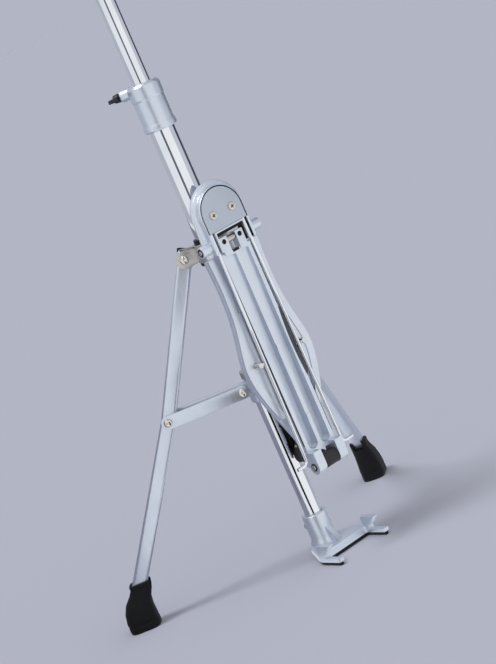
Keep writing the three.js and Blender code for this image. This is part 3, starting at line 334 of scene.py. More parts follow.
def settled(obj: Piece) -> Piece:
    """Applies the object's modifiers and returns it."""
    graph = bpy.context.evaluated_depsgraph_get()
    graph.update()
    mesh = bpy.data.meshes.new_from_object(
        obj.evaluated_get(graph), preserve_all_data_layers=True, depsgraph=graph,
    )
    obj.modifiers.clear()
    old = obj.data
    obj.data = mesh
    bpy.data.meshes.remove(old)
    return obj


def combined(obj: Piece, others: Iterable[Piece], operation: str) -> Piece:
    """Joins others to a solid, or cuts them from it, and deletes them.

    Args:
        obj: The solid.
        others: What is joined or cut.
        operation: UNION, DIFFERENCE or INTERSECT.

    Returns:
        The solid.
    """
    used = list(others)
    for other in used:
        step = obj.modifiers.new("boolean", "BOOLEAN")
        step.operation = operation
        step.solver = "EXACT"
        step.object = other
    settled(obj)
    for other in used:
        bpy.data.objects.remove(other)
    return obj


def joined(obj: Piece, *others: Piece) -> Piece:
    """Returns the solid with the others joined to it."""
    return combined(obj, others, "UNION")


def cut(obj: Piece, *others: Piece) -> Piece:
    """Returns the solid with the others cut from it."""
    return combined(obj, others, "DIFFERENCE")


def softened(obj: Piece, width: float, segments: int = 3, angle: float = 28) -> Piece:
    """Rounds the sharp edges of a solid, as casting and tumbling leave them.

    Args:
        obj: The solid.
        width: The bevel's width in millimetres.
        segments: The bevel's segments.
        angle: Edges sharper than this many degrees are rounded.

    Returns:
        The solid.
    """
    bevel = obj.modifiers.new("bevel", "BEVEL")
    bevel.width = width * MM
    bevel.segments = segments
    bevel.limit_method = "ANGLE"
    bevel.angle_limit = math.radians(angle)
    bevel.use_clamp_overlap = True
    bevel.miter_outer = "MITER_ARC"
    return settled(obj)


# Node trees


def add_node(tree: Tree, kind: str, links: Optional[dict] = None, **settings: object) -> Node:
    """Adds a node to a geometry or shader tree.

    Args:
        tree: The tree.
        kind: The node's type.
        links: Sockets or plain values, by input name or number.
        settings: Properties of the node.

    Returns:
        The node.
    """
    made = tree.nodes.new(kind)
    for name, value in settings.items():
        setattr(made, name, value)
    for name, value in (links or {}).items():
        if isinstance(value, Socket):
            tree.links.new(value, made.inputs[name])
        else:
            made.inputs[name].default_value = value
    return made


class Recipe:
    """A geometry node tree that is built in code and run once."""

    def __init__(self, name: str) -> None:
        """Starts an empty tree with a geometry input and output."""
        self.group = bpy.data.node_groups.new(name + "_recipe", "GeometryNodeTree")
        self.sockets: dict[str, str] = {}
        for way in ("OUTPUT", "INPUT"):
            self.socket("Geometry", "Geometry", way)
        self.entry = self.group.nodes.new("NodeGroupInput")

    def socket(self, name: str, kind: str, way: str = "INPUT") -> str:
        """Adds an input or output to the tree and returns its identifier."""
        face = self.group.interface
        return face.new_socket(name, in_out=way, socket_type="NodeSocket" + kind).identifier

    def size(self, name: str, kind: str = "Float") -> Socket:
        """Adds a named input and returns its socket inside the tree."""
        made = self.sockets[name] = self.socket(name, kind)
        return next(s for s in self.entry.outputs if s.identifier == made)

    def add(self, kind: str, links: dict) -> Socket:
        """Adds a node and returns its first output."""
        return add_node(self.group, "GeometryNode" + kind, links).outputs[0]

    def swept(self, line: Socket, sides: int) -> Socket:
        """Adds a round section of the named radius along a curve, with closed ends."""
        size = {"Radius": self.size("Wire radius"), "Resolution": sides}
        section = self.add("CurvePrimitiveCircle", size)
        return self.add("CurveToMesh", {"Curve": line, "Profile Curve": section, "Fill Caps": True})

    def run(
        self, name: str, last: Socket, points: Sequence[Vector], values: dict,
        material: Material, chain: bool = False,
    ) -> Piece:
        """Ends the tree, runs it on loose or chained points and keeps the plain mesh.

        Args:
            name: The result's name.
            last: The socket that gives the shape.
            points: Points that the tree reads, in millimetres.
            values: Values of the named inputs.
            material: The result's material.
            chain: Whether edges join each point to the next.

        Returns:
            The object with the made mesh.
        """
        solid = self.add("RealizeInstances", {"Geometry": last})
        dressed = self.add("SetMaterial", {"Geometry": solid, "Material": material})
        add_node(self.group, "NodeGroupOutput", {0: dressed})
        mesh = bpy.data.meshes.new(name)
        edges = [(i, i + 1) for i in range(len(points) - 1)] if chain else []
        mesh.from_pydata([point * MM for point in points], edges, [])
        source = linked(name, mesh)
        step = source.modifiers.new("recipe", "NODES")
        step.node_group = self.group
        for key, value in values.items():
            step[self.sockets[key]] = value
        source.update_tag()
        return settled(source)


def repeated(name: str, template: Piece, places: Sequence[Vector], material: Material) -> Piece:
    """Sets a copy of a template at each place.

    Args:
        name: The result's name.
        template: The object to copy, which is deleted.
        places: Where the copies' origins go.
        material: The result's material.

    Returns:
        One object with all the copies.
    """
    recipe = Recipe(name)
    points = recipe.add("MeshToPoints", {"Mesh": recipe.entry.outputs[0]})
    source = {"Object": recipe.size("Template", "Object")}
    piece = add_node(recipe.group, "GeometryNodeObjectInfo", source).outputs["Geometry"]
    copies = recipe.add("InstanceOnPoints", {"Points": points, "Instance": piece})
    made = recipe.run(name, copies, places, {"Template": template}, material)
    bpy.data.objects.remove(template)
    return made


def wire(name: str, path: Sequence[Vector], radius: float, material: Material) -> Piece:
    """Sweeps a round section along a path.

    Args:
        name: The result's name.
        path: Points of the path.
        radius: The wire's radius.
        material: The wire's material.

    Returns:
        The wire, with closed ends.
    """
    recipe = Recipe(name)
    tube = recipe.swept(recipe.add("MeshToCurve", {"Mesh": recipe.entry.outputs[0]}), 20)
    return recipe.run(name, tube, path, {"Wire radius": radius * MM}, material, True)


# Materials


def linear(code: str) -> tuple[float, float, float, float]:
    """Turns an sRGB hex colour such as 'c3cfdc' into linear RGBA."""
    parts = [int(code[i:i + 2], 16) / 255 for i in (0, 2, 4)]
    red, green, blue = (c / 12.92 if c <= 0.04045 else ((c + 0.055) / 1.055) ** 2.4 for c in parts)
    return red, green, blue, 1.0


def mapped(tree: Tree, value: Socket, source: Point, target: Point) -> Socket:
    """Adds a node that maps a value from a source range onto a target range."""
    names = ("From Min", "From Max", "To Min", "To Max")
    links = {"Value": value, **dict(zip(names, (*source, *target)))}
    return add_node(tree, "ShaderNodeMapRange", links).outputs[0]


class Lay(Enum):
    """The direction of a surface's fine lines, as stretches of the pattern's own axes."""

    NONE = (1.0, 1.0, 1.0)
    ALONG_Z = (1.0, 1.0, 0.02)
    ACROSS_Z = (0.05, 0.05, 1.0)


@dataclass(frozen=True)
class Surface:
    """A material with a fine pattern.

    Attributes:
        name: The material's name.
        slot: The record's material slot.
        colour: sRGB hex of the clean surface.
        worn: sRGB hex of its duller patches or paler grains.
        roughness: Middle roughness.
        grain: Size of the finest marks, in millimetres.
        depth: Height of the marks, in millimetres.
    """

    name: str
    slot: str
    colour: str
    worn: str
    roughness: float
    grain: float
    depth: float

    def noise(
        self, tree: Tree, place: Socket, detail: float, rough: float, scale: float = 0.0,
    ) -> Socket:
        """Adds a noise pattern, on the surface's own grain where no scale is given."""
        size = scale or 1 / (self.grain * MM * 4)
        links = {"Vector": place, "Scale": size, "Detail": detail, "Roughness": rough}
        return add_node(tree, "ShaderNodeTexNoise", links).outputs[0]

    def painted(self, levels: dict, pattern: Callable[..., tuple], strength: float) -> Material:
        """Makes the node material.

        Args:
            levels: Constant values by shader input.
            pattern: Adds the surface's own nodes, and returns its share of the worn colour and
                its marks.
            strength: Strength of the marks' relief.

        Returns:
            The material.
        """
        made = bpy.data.materials.new(self.name)
        made.use_nodes = True
        tree = made.node_tree
        shader = tree.nodes["Principled BSDF"]
        for key, value in levels.items():
            shader.inputs[key].default_value = value
        place = add_node(tree, "ShaderNodeTexCoord").outputs["Object"]
        share, marks = pattern(tree, shader, place)
        colours = {0: share, 6: linear(self.colour), 7: linear(self.worn)}
        colour = add_node(tree, "ShaderNodeMix", colours, data_type="RGBA")
        tree.links.new(colour.outputs[2], shader.inputs["Base Color"])
        if self.depth > 0:
            relief = {"Strength": strength, "Distance": self.depth * MM, "Height": marks}
            bump = add_node(tree, "ShaderNodeBump", relief)
            tree.links.new(bump.outputs[0], shader.inputs["Normal"])
        return made


@dataclass(frozen=True)
class Metal(Surface):
    """A metal surface.

    Attributes:
        spread: How far the roughness strays from its middle.
        lay: Direction of the marks.
        metallic: Share of metal; paint over metal has less.
        coat: Weight of a clear coat.
    """

    spread: float
    lay: Lay = Lay.NONE
    metallic: float = 1.0
    coat: float = 0.0

    def build(self) -> Material:
        """Returns the node material."""
        levels = {"Metallic": self.metallic, "Coat Weight": self.coat, "Coat Roughness": 0.12}
        return self.painted(levels, self.pattern, 0.6)

    def pattern(self, tree: Tree, shader: Node, place: Socket) -> tuple[Socket, Socket]:
        """Varies the roughness with the marks, and returns the duller patches and the marks."""
        stretch = {"Vector": place, "Scale": self.lay.value}
        marks = self.noise(tree, add_node(tree, "ShaderNodeMapping", stretch).outputs[0], 3.0, 0.6)
        rough = (max(self.roughness - self.spread, 0.02), self.roughness + self.spread)
        tree.links.new(mapped(tree, marks, (0.3, 0.7), rough), shader.inputs["Roughness"])
        # Slow patches a few centimetres across, as handling and polishing leave
        patches = self.noise(tree, place, 2.0, 0.5, 28.0)
        return mapped(tree, patches, (0.35, 0.7), (0.0, 0.6)), marks


@dataclass(frozen=True)
class Moulded(Surface):
    """A rubber, nylon or felt surface.

    Attributes:
        sheen: Weight of the sheen.
        share: How much of the surface the paler grains take.
        shine: Level of the clear highlight.
    """

    sheen: float = 0.0
    share: float = 0.3
    shine: float = 0.2

    def build(self) -> Material:
        """Returns the node material."""
        levels = {"Roughness": self.roughness, "Sheen Weight": self.sheen}
        return self.painted({**levels, "Specular IOR Level": self.shine}, self.pattern, 0.7)

    def pattern(self, tree: Tree, _: Node, place: Socket) -> tuple[Socket, Socket]:
        """Returns the paler grains and the grains' own pattern."""
        grains = self.noise(tree, place, 4.0, 0.7)
        return mapped(tree, grains, (0.45, 0.75), (0.0, self.share)), grains


class Finish(Enum):
    """The finishes on the stand. Each is built once."""

    # Bright nickel-chrome plate over steel: mirror-like, with faint wipe marks
    CHROME = Metal("chromed_steel", "chrome", "e6e9ee", "dadee4", 0.05, 3.0, 0.0, 0.015)
    # Die-cast aluminium under silver lacquer: soft highlights and a fine sand texture
    CASTING = Metal(
        "silver_lacquered_casting", "casting", "d3dae5", "c8d0dc", 0.34, 0.35, 0.02, 0.05,
        Lay.NONE, 0.75, 0.1,
    )
    # Extruded and bright-anodised aluminium: fine drawn lines along the tube
    ANODISED = Metal(
        "bright_anodised_aluminium", "aluminium", "d2d8e2", "c6cdd9", 0.32, 0.5, 0.008, 0.05,
        Lay.ALONG_Z,
    )
    # Sprayed grey-blue cover sheet, flat and even
    COVER = Metal(
        "satin_sprayed_sheet", "cover", "c0c8d3", "bac2ce", 0.42, 0.3, 0.008, 0.04, Lay.NONE, 0.3,
    )
    # Pressed steel, brushed and nickel-flashed, a little warm
    STEEL = Metal(
        "brushed_pressed_steel", "steel", "c2bfbc", "b0adab", 0.31, 0.4, 0.012, 0.07, Lay.ACROSS_Z,
    )
    # Nickel-plated rivets and screws, slightly yellow
    NICKEL = Metal("nickel_plate", "nickel", "dfdbd2", "ccc6b9", 0.1, 0.8, 0.0, 0.03)
    # Plated cross-head screws, cream and a little dull
    SCREW = Metal("dull_plated_screw", "nickel", "d0ccc2", "bdb8ab", 0.34, 0.6, 0.0, 0.05)
    # Turned bright steel, a soft even grey
    TURNED = Metal("turned_bright_steel", "steel", "d6d5d2", "c8c7c4", 0.2, 0.5, 0.0, 0.04)
    # Oiled black-zinc steel: dark, with a low gleam
    DARK_STEEL = Metal(
        "black_zinc_steel", "dark_steel", "3d3e42", "2c2c30", 0.38, 0.5, 0.01, 0.08, Lay.NONE, 0.85,
    )
    # Glass-filled nylon, moulded, with a faint pebble
    NYLON = Moulded("black_moulded_nylon", "black_nylon", "141518", "25272b", 0.45, 0.5, 0.02)
    # Nylon that has been handled, greyer than new
    WORN_NYLON = Moulded("worn_nylon", "black_nylon", "353438", "4b4a4e", 0.5, 0.5, 0.02)
    # Softer rubber of the foot grip, a matte grey; behind the board's slots it is painted shade,
    # standing for the dark seen through them
    GRIP = Moulded("grip_rubber", "rubber", "5f6269", "70737a", 0.7, 0.6, 0.05)
    # Moulded natural rubber: matte, a little dusty
    RUBBER = Moulded("matte_black_rubber", "rubber", "0e0f12", "26272b", 0.62, 0.6, 0.05, 0.02, 0.3)
    # Pressed wool felt: fuzzy, with loose pale fibres
    FELT = Moulded("pressed_wool_felt", "felt", "777a80", "b4b6ba", 0.95, 0.45, 0.35, 0.5, 0.7)

    def material(self) -> Material:
        """Returns the finish's material, built at its first use."""
        return bpy.data.materials.get(self.value.name) or self.value.build()


def dress(obj: Piece, finish: Finish, body: str, *nodes: str, angle: float = 32) -> Piece:
    """Gives a finished mesh its material, shading and body, and hides the nodes it stands for.

    Args:
        obj: The piece.
        finish: Its finish.
        body: The body it rides on.
        nodes: The CAD nodes that it replaces.
        angle: Edges sharper than this many degrees stay sharp.

    Returns:
        The piece.
    """
    obj.data.materials.clear()
    obj.data.materials.append(finish.material())
    obj.data.shade_smooth()
    obj.data.set_sharp_from_angle(angle=math.radians(angle))
    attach(obj, body)
    if nodes:
        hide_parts(*nodes)
    LOG.info("%s rides on %s", obj.name, body)
    return obj


# Sizes from the frame


@dataclass(frozen=True)
class Span:
    """The box of a CAD node, in millimetres."""

    low: Vector
    high: Vector

    @classmethod
    def of(cls, node: str) -> "Span":
        """Reads a node's box from the frame."""
        low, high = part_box(node)
        return cls(low / MM, high / MM)

    @property
    def size(self) -> Vector:
        """The box's sides."""
        return self.high - self.low

    @property
    def centre(self) -> Vector:
        """The box's middle."""
        return (self.low + self.high) / 2

    @property
    def radius(self) -> float:
        """Half the box's width."""
        return self.size.x / 2


# The stand


@dataclass
class Tubes:
    """The upright tubes, the pull rod and what guides it.

    lip rounds the rims; scoop is the height of the opening at the main tube's foot.
    """

    wall: float = 1.5
    upper_wall: float = 1.2
    rod_gap: float = 3.3
    rod_radius: float = 3.0
    lip: float = 0.4
    scoop: float = 59.3

    def ringed(
        self, name: str, node: str, inner: float, finish: Finish, body: str, ease: float = 0.0,
    ) -> Piece:
        """Makes a plain ring that fills a round node's box.

        Args:
            name: The piece's name.
            node: The node that it replaces.
            inner: Radius of the bore.
            finish: The finish.
            body: The body.
            ease: Rounding of its edges, where it isn't a tube's.

        Returns:
            The piece.
        """
        span = Span.of(node)
        centre = (0.0, span.centre.y if abs(span.centre.y) > 1 else 0.0)
        profile = ring_profile(inner, span.radius, span.low.z, span.high.z)
        return dress(turned(name, profile, centre, ease=ease or self.lip), finish, body, node)

    def main_tube(self) -> None:
        """Makes the main tube, cut away in front at its foot for the drive link."""
        span = Span.of("main_tube")
        outer, side = span.radius, span.radius + OVERRUN
        profile = ring_profile(outer - self.wall, outer, span.low.z, span.high.z)
        made = turned("chromed_main_tube", profile, ease=self.lip)
        top = span.low.z + self.scoop
        cut(made, block("scoop", (-side, -side, span.low.z - OVERRUN), (side, 2, top)))
        dress(made, Finish.CHROME, "stand", "main_tube")

    def scoop_shade_liner(self) -> None:
        """Lines the back of the open foot of the main tube with a black skirt below the rod bush.
        The skirt is painted shade: a dark sheet where the opening only holds shade and dark
        reflection.
        """
        span, bush = Span.of("main_tube"), Span.of("rod_bush")
        outer = span.radius - self.wall - 0.15
        profile = ring_profile(outer - 0.5, outer, span.low.z + 0.4, bush.low.z - 0.2)
        made, side = turned("rod_guide_skirt", profile), outer + OVERRUN
        cut(made, block("front", (-side, -side, span.low.z - OVERRUN), (side, 2.2, bush.high.z)))
        dress(made, Finish.NYLON, "stand")

    def post_ring(self, post: Span) -> None:
        """Puts a knurled lock ring on the post's top."""
        low, high, outer = Span.of("lower_bracket").high.z + 0.3, post.high.z + 4, 13.3
        levels = [
            (outer * 0.95, low), (outer, low + 1), (outer, high - 1.2), (outer * 0.92, high),
        ]
        made = knurled("knurled_post_ring", (0, post.centre.y), levels, 2, 0.045, 60)
        cut(made, upright(post.radius + 0.1, low - OVERRUN, high - 1.5, post.centre.y))
        dress(made, Finish.STEEL, "stand")

    def spring(self) -> None:
        """Winds the return spring with a geometry node tree."""
        span, thick, turns = Span.of("return_spring"), 0.95, 7.0
        recipe = Recipe("spring")
        radius = recipe.size("Radius")
        spiral = recipe.add("CurveSpiral", {
            "Resolution": 28, "Rotations": recipe.size("Turns"), "Height": recipe.size("Rise"),
            "Start Radius": radius, "End Radius": radius,
        })
        values = {
            "Turns": turns, "Rise": (span.size.z - 2 * thick) * MM,
            "Radius": (span.radius - thick) * MM, "Wire radius": thick * MM,
        }
        coil = recipe.swept(spiral, 12)
        made = recipe.run("wound_return_spring", coil, [], values, Finish.DARK_STEEL.material())
        moved(made, Matrix.Translation(Vector((0, 0, (span.low.z + thick) * MM))))
        dress(made, Finish.DARK_STEEL, "stand", "return_spring")
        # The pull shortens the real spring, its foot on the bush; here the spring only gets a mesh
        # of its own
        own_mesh(made)

    def build(self) -> None:
        """Makes every tube, the rod, the bushes and the spring with its seat."""
        self.main_tube()
        post, rod = Span.of("base_post"), Span.of("pull_rod")
        bore = post.radius - self.wall
        self.ringed("chromed_base_post", "base_post", bore, Finish.CHROME, "stand")
        plug = disc_profile(bore, post.high.z - 9, post.high.z - 0.6)
        cap = turned("base_post_plug", plug, (0, post.centre.y), ease=0.8)
        dress(cap, Finish.NYLON, "stand")
        upper = Span.of("upper_tube").radius - self.upper_wall
        self.ringed("chromed_upper_tube", "upper_tube", upper, Finish.CHROME, "upper")
        profile = disc_profile(self.rod_radius, rod.low.z, rod.high.z)
        dress(turned("bright_pull_rod", profile, ease=0.7), Finish.CHROME, "rod", "pull_rod")
        self.scoop_shade_liner()
        self.post_ring(post)
        for node, body in (("rod_bush", "stand"), ("upper_rod_bush", "upper")):
            self.ringed(node + "_moulded", node, self.rod_gap, Finish.NYLON, body)
        self.ringed("plated_spring_seat", "spring_seat", self.rod_gap, Finish.NICKEL, "rod", 0.6)
        self.spring()


def oblong(half: float, half_width: float) -> list[Point]:
    """Returns the corners of a rectangle about the origin."""
    return [(half, -half_width), (half, half_width), (-half, half_width), (-half, -half_width)]


@dataclass
class Legs:
    """The two bent legs with their feet, stays and rivets.

    Lengths along a leg are radii from the tube's axis. outward and sideways point along and
    across the leg that is being made.
    """

    from_back: float = 50.0
    pivot: float = 33.0
    stay: float = 88.0
    stay_z: float = 207.5
    collar_z: float = 364.5
    lower_turn: float = 33.4
    depth: float = 16.0
    width: float = 14.0
    wall: float = 1.5
    corner: float = 2.6
    above: float = 8.0
    end_z: float = 36.0
    plate: float = 2.0
    gap: float = 0.3
    bar_width: float = 15.0
    head: float = 4.75
    dome: float = 2.4
    outward: Vector = field(default_factory=Vector)
    sideways: Vector = field(default_factory=Vector)

    def face(self, side: int) -> None:
        """Turns the leg's own axes to the left (-1) or right (1) leg."""
        angle = math.radians(90 - side * self.from_back)
        self.outward = Vector((math.cos(angle), math.sin(angle), 0))
        self.sideways = Vector((-math.sin(angle), math.cos(angle), 0))

    def at(self, radius: float, across: float, z: float) -> Vector:
        """Returns the world point at a radius, a sideways offset and a height."""
        return self.outward * radius + self.sideways * across + Vector((0, 0, z))

    def stations(self) -> list[tuple[Vector, Vector]]:
        """Returns centre points and directions down the leg, with a short bend at the elbow."""
        upper = math.atan2(self.stay, self.collar_z - self.stay_z)
        lower = math.radians(self.lower_turn)
        down = [Vector((math.sin(a), 0, -math.cos(a))) for a in (upper, lower)]
        start = Vector((self.pivot, 0, self.collar_z)) - down[0] * self.above
        elbow = Vector((self.pivot + self.stay, 0, self.stay_z))
        end = elbow + down[1] * ((self.stay_z - self.end_z) / math.cos(lower))
        bend = 5.0
        centre = elbow - (down[1] - down[0]) * bend * 0.35
        return [
            (start, down[0]), (elbow - down[0] * bend, down[0]),
            (centre, (down[0] + down[1]).normalized()), (elbow + down[1] * bend, down[1]),
            (end, down[1]),
        ]

    def tube_rings(self, grow: float, ease: float = 0.0) -> list[list[Vector]]:
        """Returns the rings of the tube's skin, grown by that much."""
        corners = oblong(self.depth / 2 + grow, self.width / 2 + grow)
        section = eased(corners, (self.corner + grow) * 1.3, steps=6)
        rings = []
        for centre, along in self.stations():
            across = along.cross(Vector((0, 1, 0))).normalized()
            ring = [centre + across * a + Vector((0, 1, 0)) * b for a, b in section]
            rings.append([self.at(p.x, p.y, p.z) for p in ring])
        if ease:
            middle = sum(rings[0], Vector()) / len(rings[0])
            first = [p + (middle - p) * 0.04 for p in rings[0]]
            along = (rings[1][0] - rings[0][0]).normalized()
            rings[0] = [p + along * ease for p in rings[0]]
            rings.insert(0, first)
        return rings

    def leg(self, side_name: str) -> None:
        """Makes the leg tube, open at its top."""
        skin = self.tube_rings(0, 0.5) + self.tube_rings(-self.wall)[::-1]
        made = loft(f"{side_name}_leg_tube", skin, loop=True)
        dress(made, Finish.ANODISED, f"{side_name}_leg", f"{side_name}_leg")

    def foot(self, side_name: str) -> None:
        """Makes the rubber foot: a neck that swells to a heavy, flat-soled boot."""
        height, top_radius, sole_radius = 52.0, 224.5, 238.0
        top_depth, sole_depth, top_width, sole_width = 12.6, 18.0, 10.0, 14.0
        # Share of the height, of the swelling and of the way out to the sole
        levels = [
            (1.0, -0.06, 0.0), (0.985, 0.02, 0.0), (0.93, 0.02, 0.02), (0.91, -0.02, 0.04),
            (0.885, 0.03, 0.06), (0.78, 0.16, 0.28), (0.62, 0.5, 0.72), (0.45, 0.78, 0.93),
            (0.27, 0.97, 1.0), (0.2, 1.0, 1.0), (0.185, 0.93, 1.0), (0.165, 0.93, 1.0),
            (0.15, 1.0, 1.0), (0.06, 1.0, 1.0), (0.015, 0.93, 1.0), (0.0, 0.84, 1.0),
        ]
        rings = []
        for level, swell, shift in levels:
            half_width = top_width + (sole_width - top_width) * swell
            corners = oblong(top_depth + (sole_depth - top_depth) * swell, half_width)
            middle = top_radius + (sole_radius - top_radius) * shift
            ring = eased(corners, half_width * 0.8, steps=7)
            rings.append([self.at(middle + a, b, height * level) for a, b in ring])
        made = loft(f"{side_name}_rubber_foot", rings)
        socket = loft("socket", self.tube_rings(0.15)[3:])
        lean = math.tan(math.radians(self.lower_turn))
        ends = []
        for z in (height - 9.5, height + 8):
            middle = self.pivot + self.stay + (self.stay_z - z) * lean
            ends.append(self.at(middle - self.depth / 2 - 4.2, 0, z))
        cut(made, socket, bar("notch", 6.2, *ends, 5.5, ROUND))
        dress(made, Finish.RUBBER, f"{side_name}_leg", f"{side_name}_foot", angle=50)

    def head_profile(self) -> list[Point]:
        """Returns the profile of a shank's end and the domed rivet head that stands on it."""
        face, steps = self.width / 2 + self.plate + 2 * self.gap, 8
        turns = (math.pi / 2 * k / steps for k in range(steps - 1))
        top, dome = face + self.dome, self.dome - 0.5
        return [
            (2.6, face), (self.head * 0.97, face), (self.head, face + 0.15),
            *((self.head * math.cos(a), face + 0.5 + dome * math.sin(a)) for a in turns),
            (1.5, top - 0.08), (1.1, top - 0.3), (0.0, top - 0.62),
        ]

    def rivet(self, name: str, radius: float, z: float, body: str, node: str) -> None:
        """Makes a through rivet with two domed heads."""
        upper = self.head_profile()
        lower = [(r, -h) for r, h in upper][::-1]
        made = turned(name, lower + upper, sides=SMALL_ROUND)
        aimed(made, self.sideways, self.at(radius, 0, z))
        dress(made, Finish.NICKEL, body, node, angle=45)

    def elbow_rivets(self, side_name: str, side: int) -> None:
        """Makes the outer rivet heads, which hold the stay bars at the elbow."""
        shank = self.width / 2 + self.gap
        for sign, label in ((-side, "front"), (side, "back")):
            profile = [(0, shank), (2.6, shank), *self.head_profile()]
            made = turned(f"{side_name}_{label}_elbow_rivet_head", profile, sides=SMALL_ROUND)
            aimed(made, self.sideways * sign, self.at(self.pivot + self.stay, 0, self.stay_z))
            node = f"{side_name}_{label}_elbow_rivet"
            dress(made, Finish.NICKEL, f"{side_name}_stay", node, angle=45)

    def plate_on(self, name: str, outline: Sequence[Point], face: int) -> Piece:
        """Makes a flat plate on one side of the leg from an outline of (radius, z)."""
        near = face * (self.width / 2 + self.gap)
        depths = (near, near + face * self.plate)
        made = loft(name, [[self.at(r, across, z) for r, z in outline] for across in depths])
        return softened(made, 0.35, 2)

    def stays(self, side_name: str, side: int) -> None:
        """Makes the two flat stay bars of a leg."""
        inner, outer = (self.pivot, self.stay_z), (self.pivot + self.stay, self.stay_z)
        outline = stadium(inner, outer, self.bar_width / 2)
        for face, label in ((-side, "front"), (side, "back")):
            made = self.plate_on(f"{side_name}_{label}_stay_bar", outline, face)
            dress(made, Finish.ANODISED, f"{side_name}_stay", f"{side_name}_{label}_stay")

    def build(self) -> None:
        """Makes both legs with everything on them."""
        for side, name in SIDES:
            self.face(side)
            self.leg(name)
            self.foot(name)
            self.stays(name, side)
            for place, z, body, node in (
                ("collar", self.collar_z, "collar", f"{name}_leg_rivet"),
                ("bracket", self.stay_z, f"{name}_stay", f"{name}_stay_rivet"),
            ):
                self.rivet(f"{name}_{place}_rivet", self.pivot, z, body, node)
            self.elbow_rivets(name, side)


def wing_screw(name: str, shank: float, span: float) -> Piece:
    """Makes a wing screw that points along +Z with its tip at the origin.

    Args:
        name: Its name.
        shank: Length of the threaded shank.
        span: Half the width across the wings.

    Returns:
        The screw.
    """
    top, pitch, radius = shank + 7.0, 1.0, 2.6
    thread = [
        point for k in range(int(shank / pitch) - 1)
        for point in ((radius, k * pitch + 0.3), (radius - 0.35, k * pitch + 0.8))
    ]
    profile = [(0, 0), (radius - 0.5, 0), *thread, (radius - 0.2, top), (0, top)]
    shape = turned(name, profile, sides=SMALL_ROUND)
    hub = [
        (0, shank), (4.2, shank), (5.0, shank + 2.5), (4.4, top + 1), (2.6, top + 2), (0, top + 2),
    ]
    parts = [turned("boss", hub, ease=0.8)]
    for sign in SIGNS:
        wing = [
            (1.5, shank + 1.5), (span - 6, top - 5.4), (span - 1.2, top - 3.4), (span, top),
            (span - 1.2, top + 3.6), (span - 5.5, top + 2.6), (1.5, top + 1.4),
        ]
        outline = eased([(sign * x, z) for x, z in wing], 2.6, steps=5)
        parts.append(prism("wing", outline, Plane.XZ, -2.0, 2.0))
    return softened(joined(shape, *parts), 0.5, 3, 40)


def polar(direction: Vector, reach: float, z: float) -> Vector:
    """Returns the point that far along a level direction from the tube's axis, at a height."""
    return direction * reach + Vector((0, 0, z))


@dataclass
class Collar:
    """The leg collar with its liner and wing screw.

    tip is how near the screw comes to the axis, and wing_turn is in degrees.
    """

    legs: Legs
    bore: float = 17.6
    ring: float = 20.5
    height: float = 20.0
    ear: float = 10.0
    neck: float = 7.6
    boss: float = 5.2
    hole: float = 2.8
    tip: float = 14.6
    wing_turn: float = 28.5
    shank: float = 18.6
    wing_span: float = 20.0

    def ears(self, z: float) -> list[Piece]:
        """Returns the two pairs of ears."""
        plates = []
        for side in SIGNS:
            self.legs.face(side)
            outline = stadium((self.bore + 1.2, z), (self.legs.pivot, z), self.neck, self.ear)
            outline = [(max(r, self.bore + 0.4), height) for r, height in outline]
            plates += [self.legs.plate_on("ear", outline, face) for face in SIGNS]
        return plates

    def build(self) -> None:
        """Makes the collar, the liner and the screw."""
        z = self.legs.collar_z
        low, high, reach = z - self.height / 2, z - self.height / 2 + self.height, self.ring + 6
        out = Vector((0, 1, 0))
        plates = self.ears(z)
        profile = ring_profile(self.bore, self.ring, low, high)
        made = turned("pressed_leg_collar", profile, ease=0.6)
        boss = bar("boss", self.boss, polar(out, self.bore + 0.5, z), polar(out, reach, z), 0.6)
        joined(made, boss, *plates)
        hole = bar("hole", self.hole, (0, 0, z), polar(out, reach + OVERRUN, z))
        cut(made, upright(self.bore, low - OVERRUN, high + OVERRUN), hole)
        dress(softened(made, 0.4, 2, 40), Finish.STEEL, "collar", "leg_collar")
        liner, inner, neck = Span.of("collar_liner"), 14.6, self.bore - 0.3
        lip = liner.low.z + 3.4
        profile = [
            (inner, liner.low.z), (liner.radius, liner.low.z), (liner.radius, lip), (neck, lip),
            (neck, liner.high.z), (inner, liner.high.z),
        ]
        sleeve = turned("moulded_collar_liner", profile, ease=0.6)
        cut(sleeve, bar("hole", self.hole, (0, 0, z), polar(out, 30, z)))
        dress(sleeve, Finish.NYLON, "collar", "collar_liner")
        screw = moved(
            wing_screw("collar_wing_screw_moulded", self.shank, self.wing_span),
            Matrix.Rotation(-math.pi / 2, 4, "X"),
            Matrix.Rotation(math.radians(self.wing_turn), 4, "Y"),
            Matrix.Translation(polar(out, self.tip, z) * MM),
        )
        dress(screw, Finish.NYLON, "collar_screw", "collar_wing_screw")


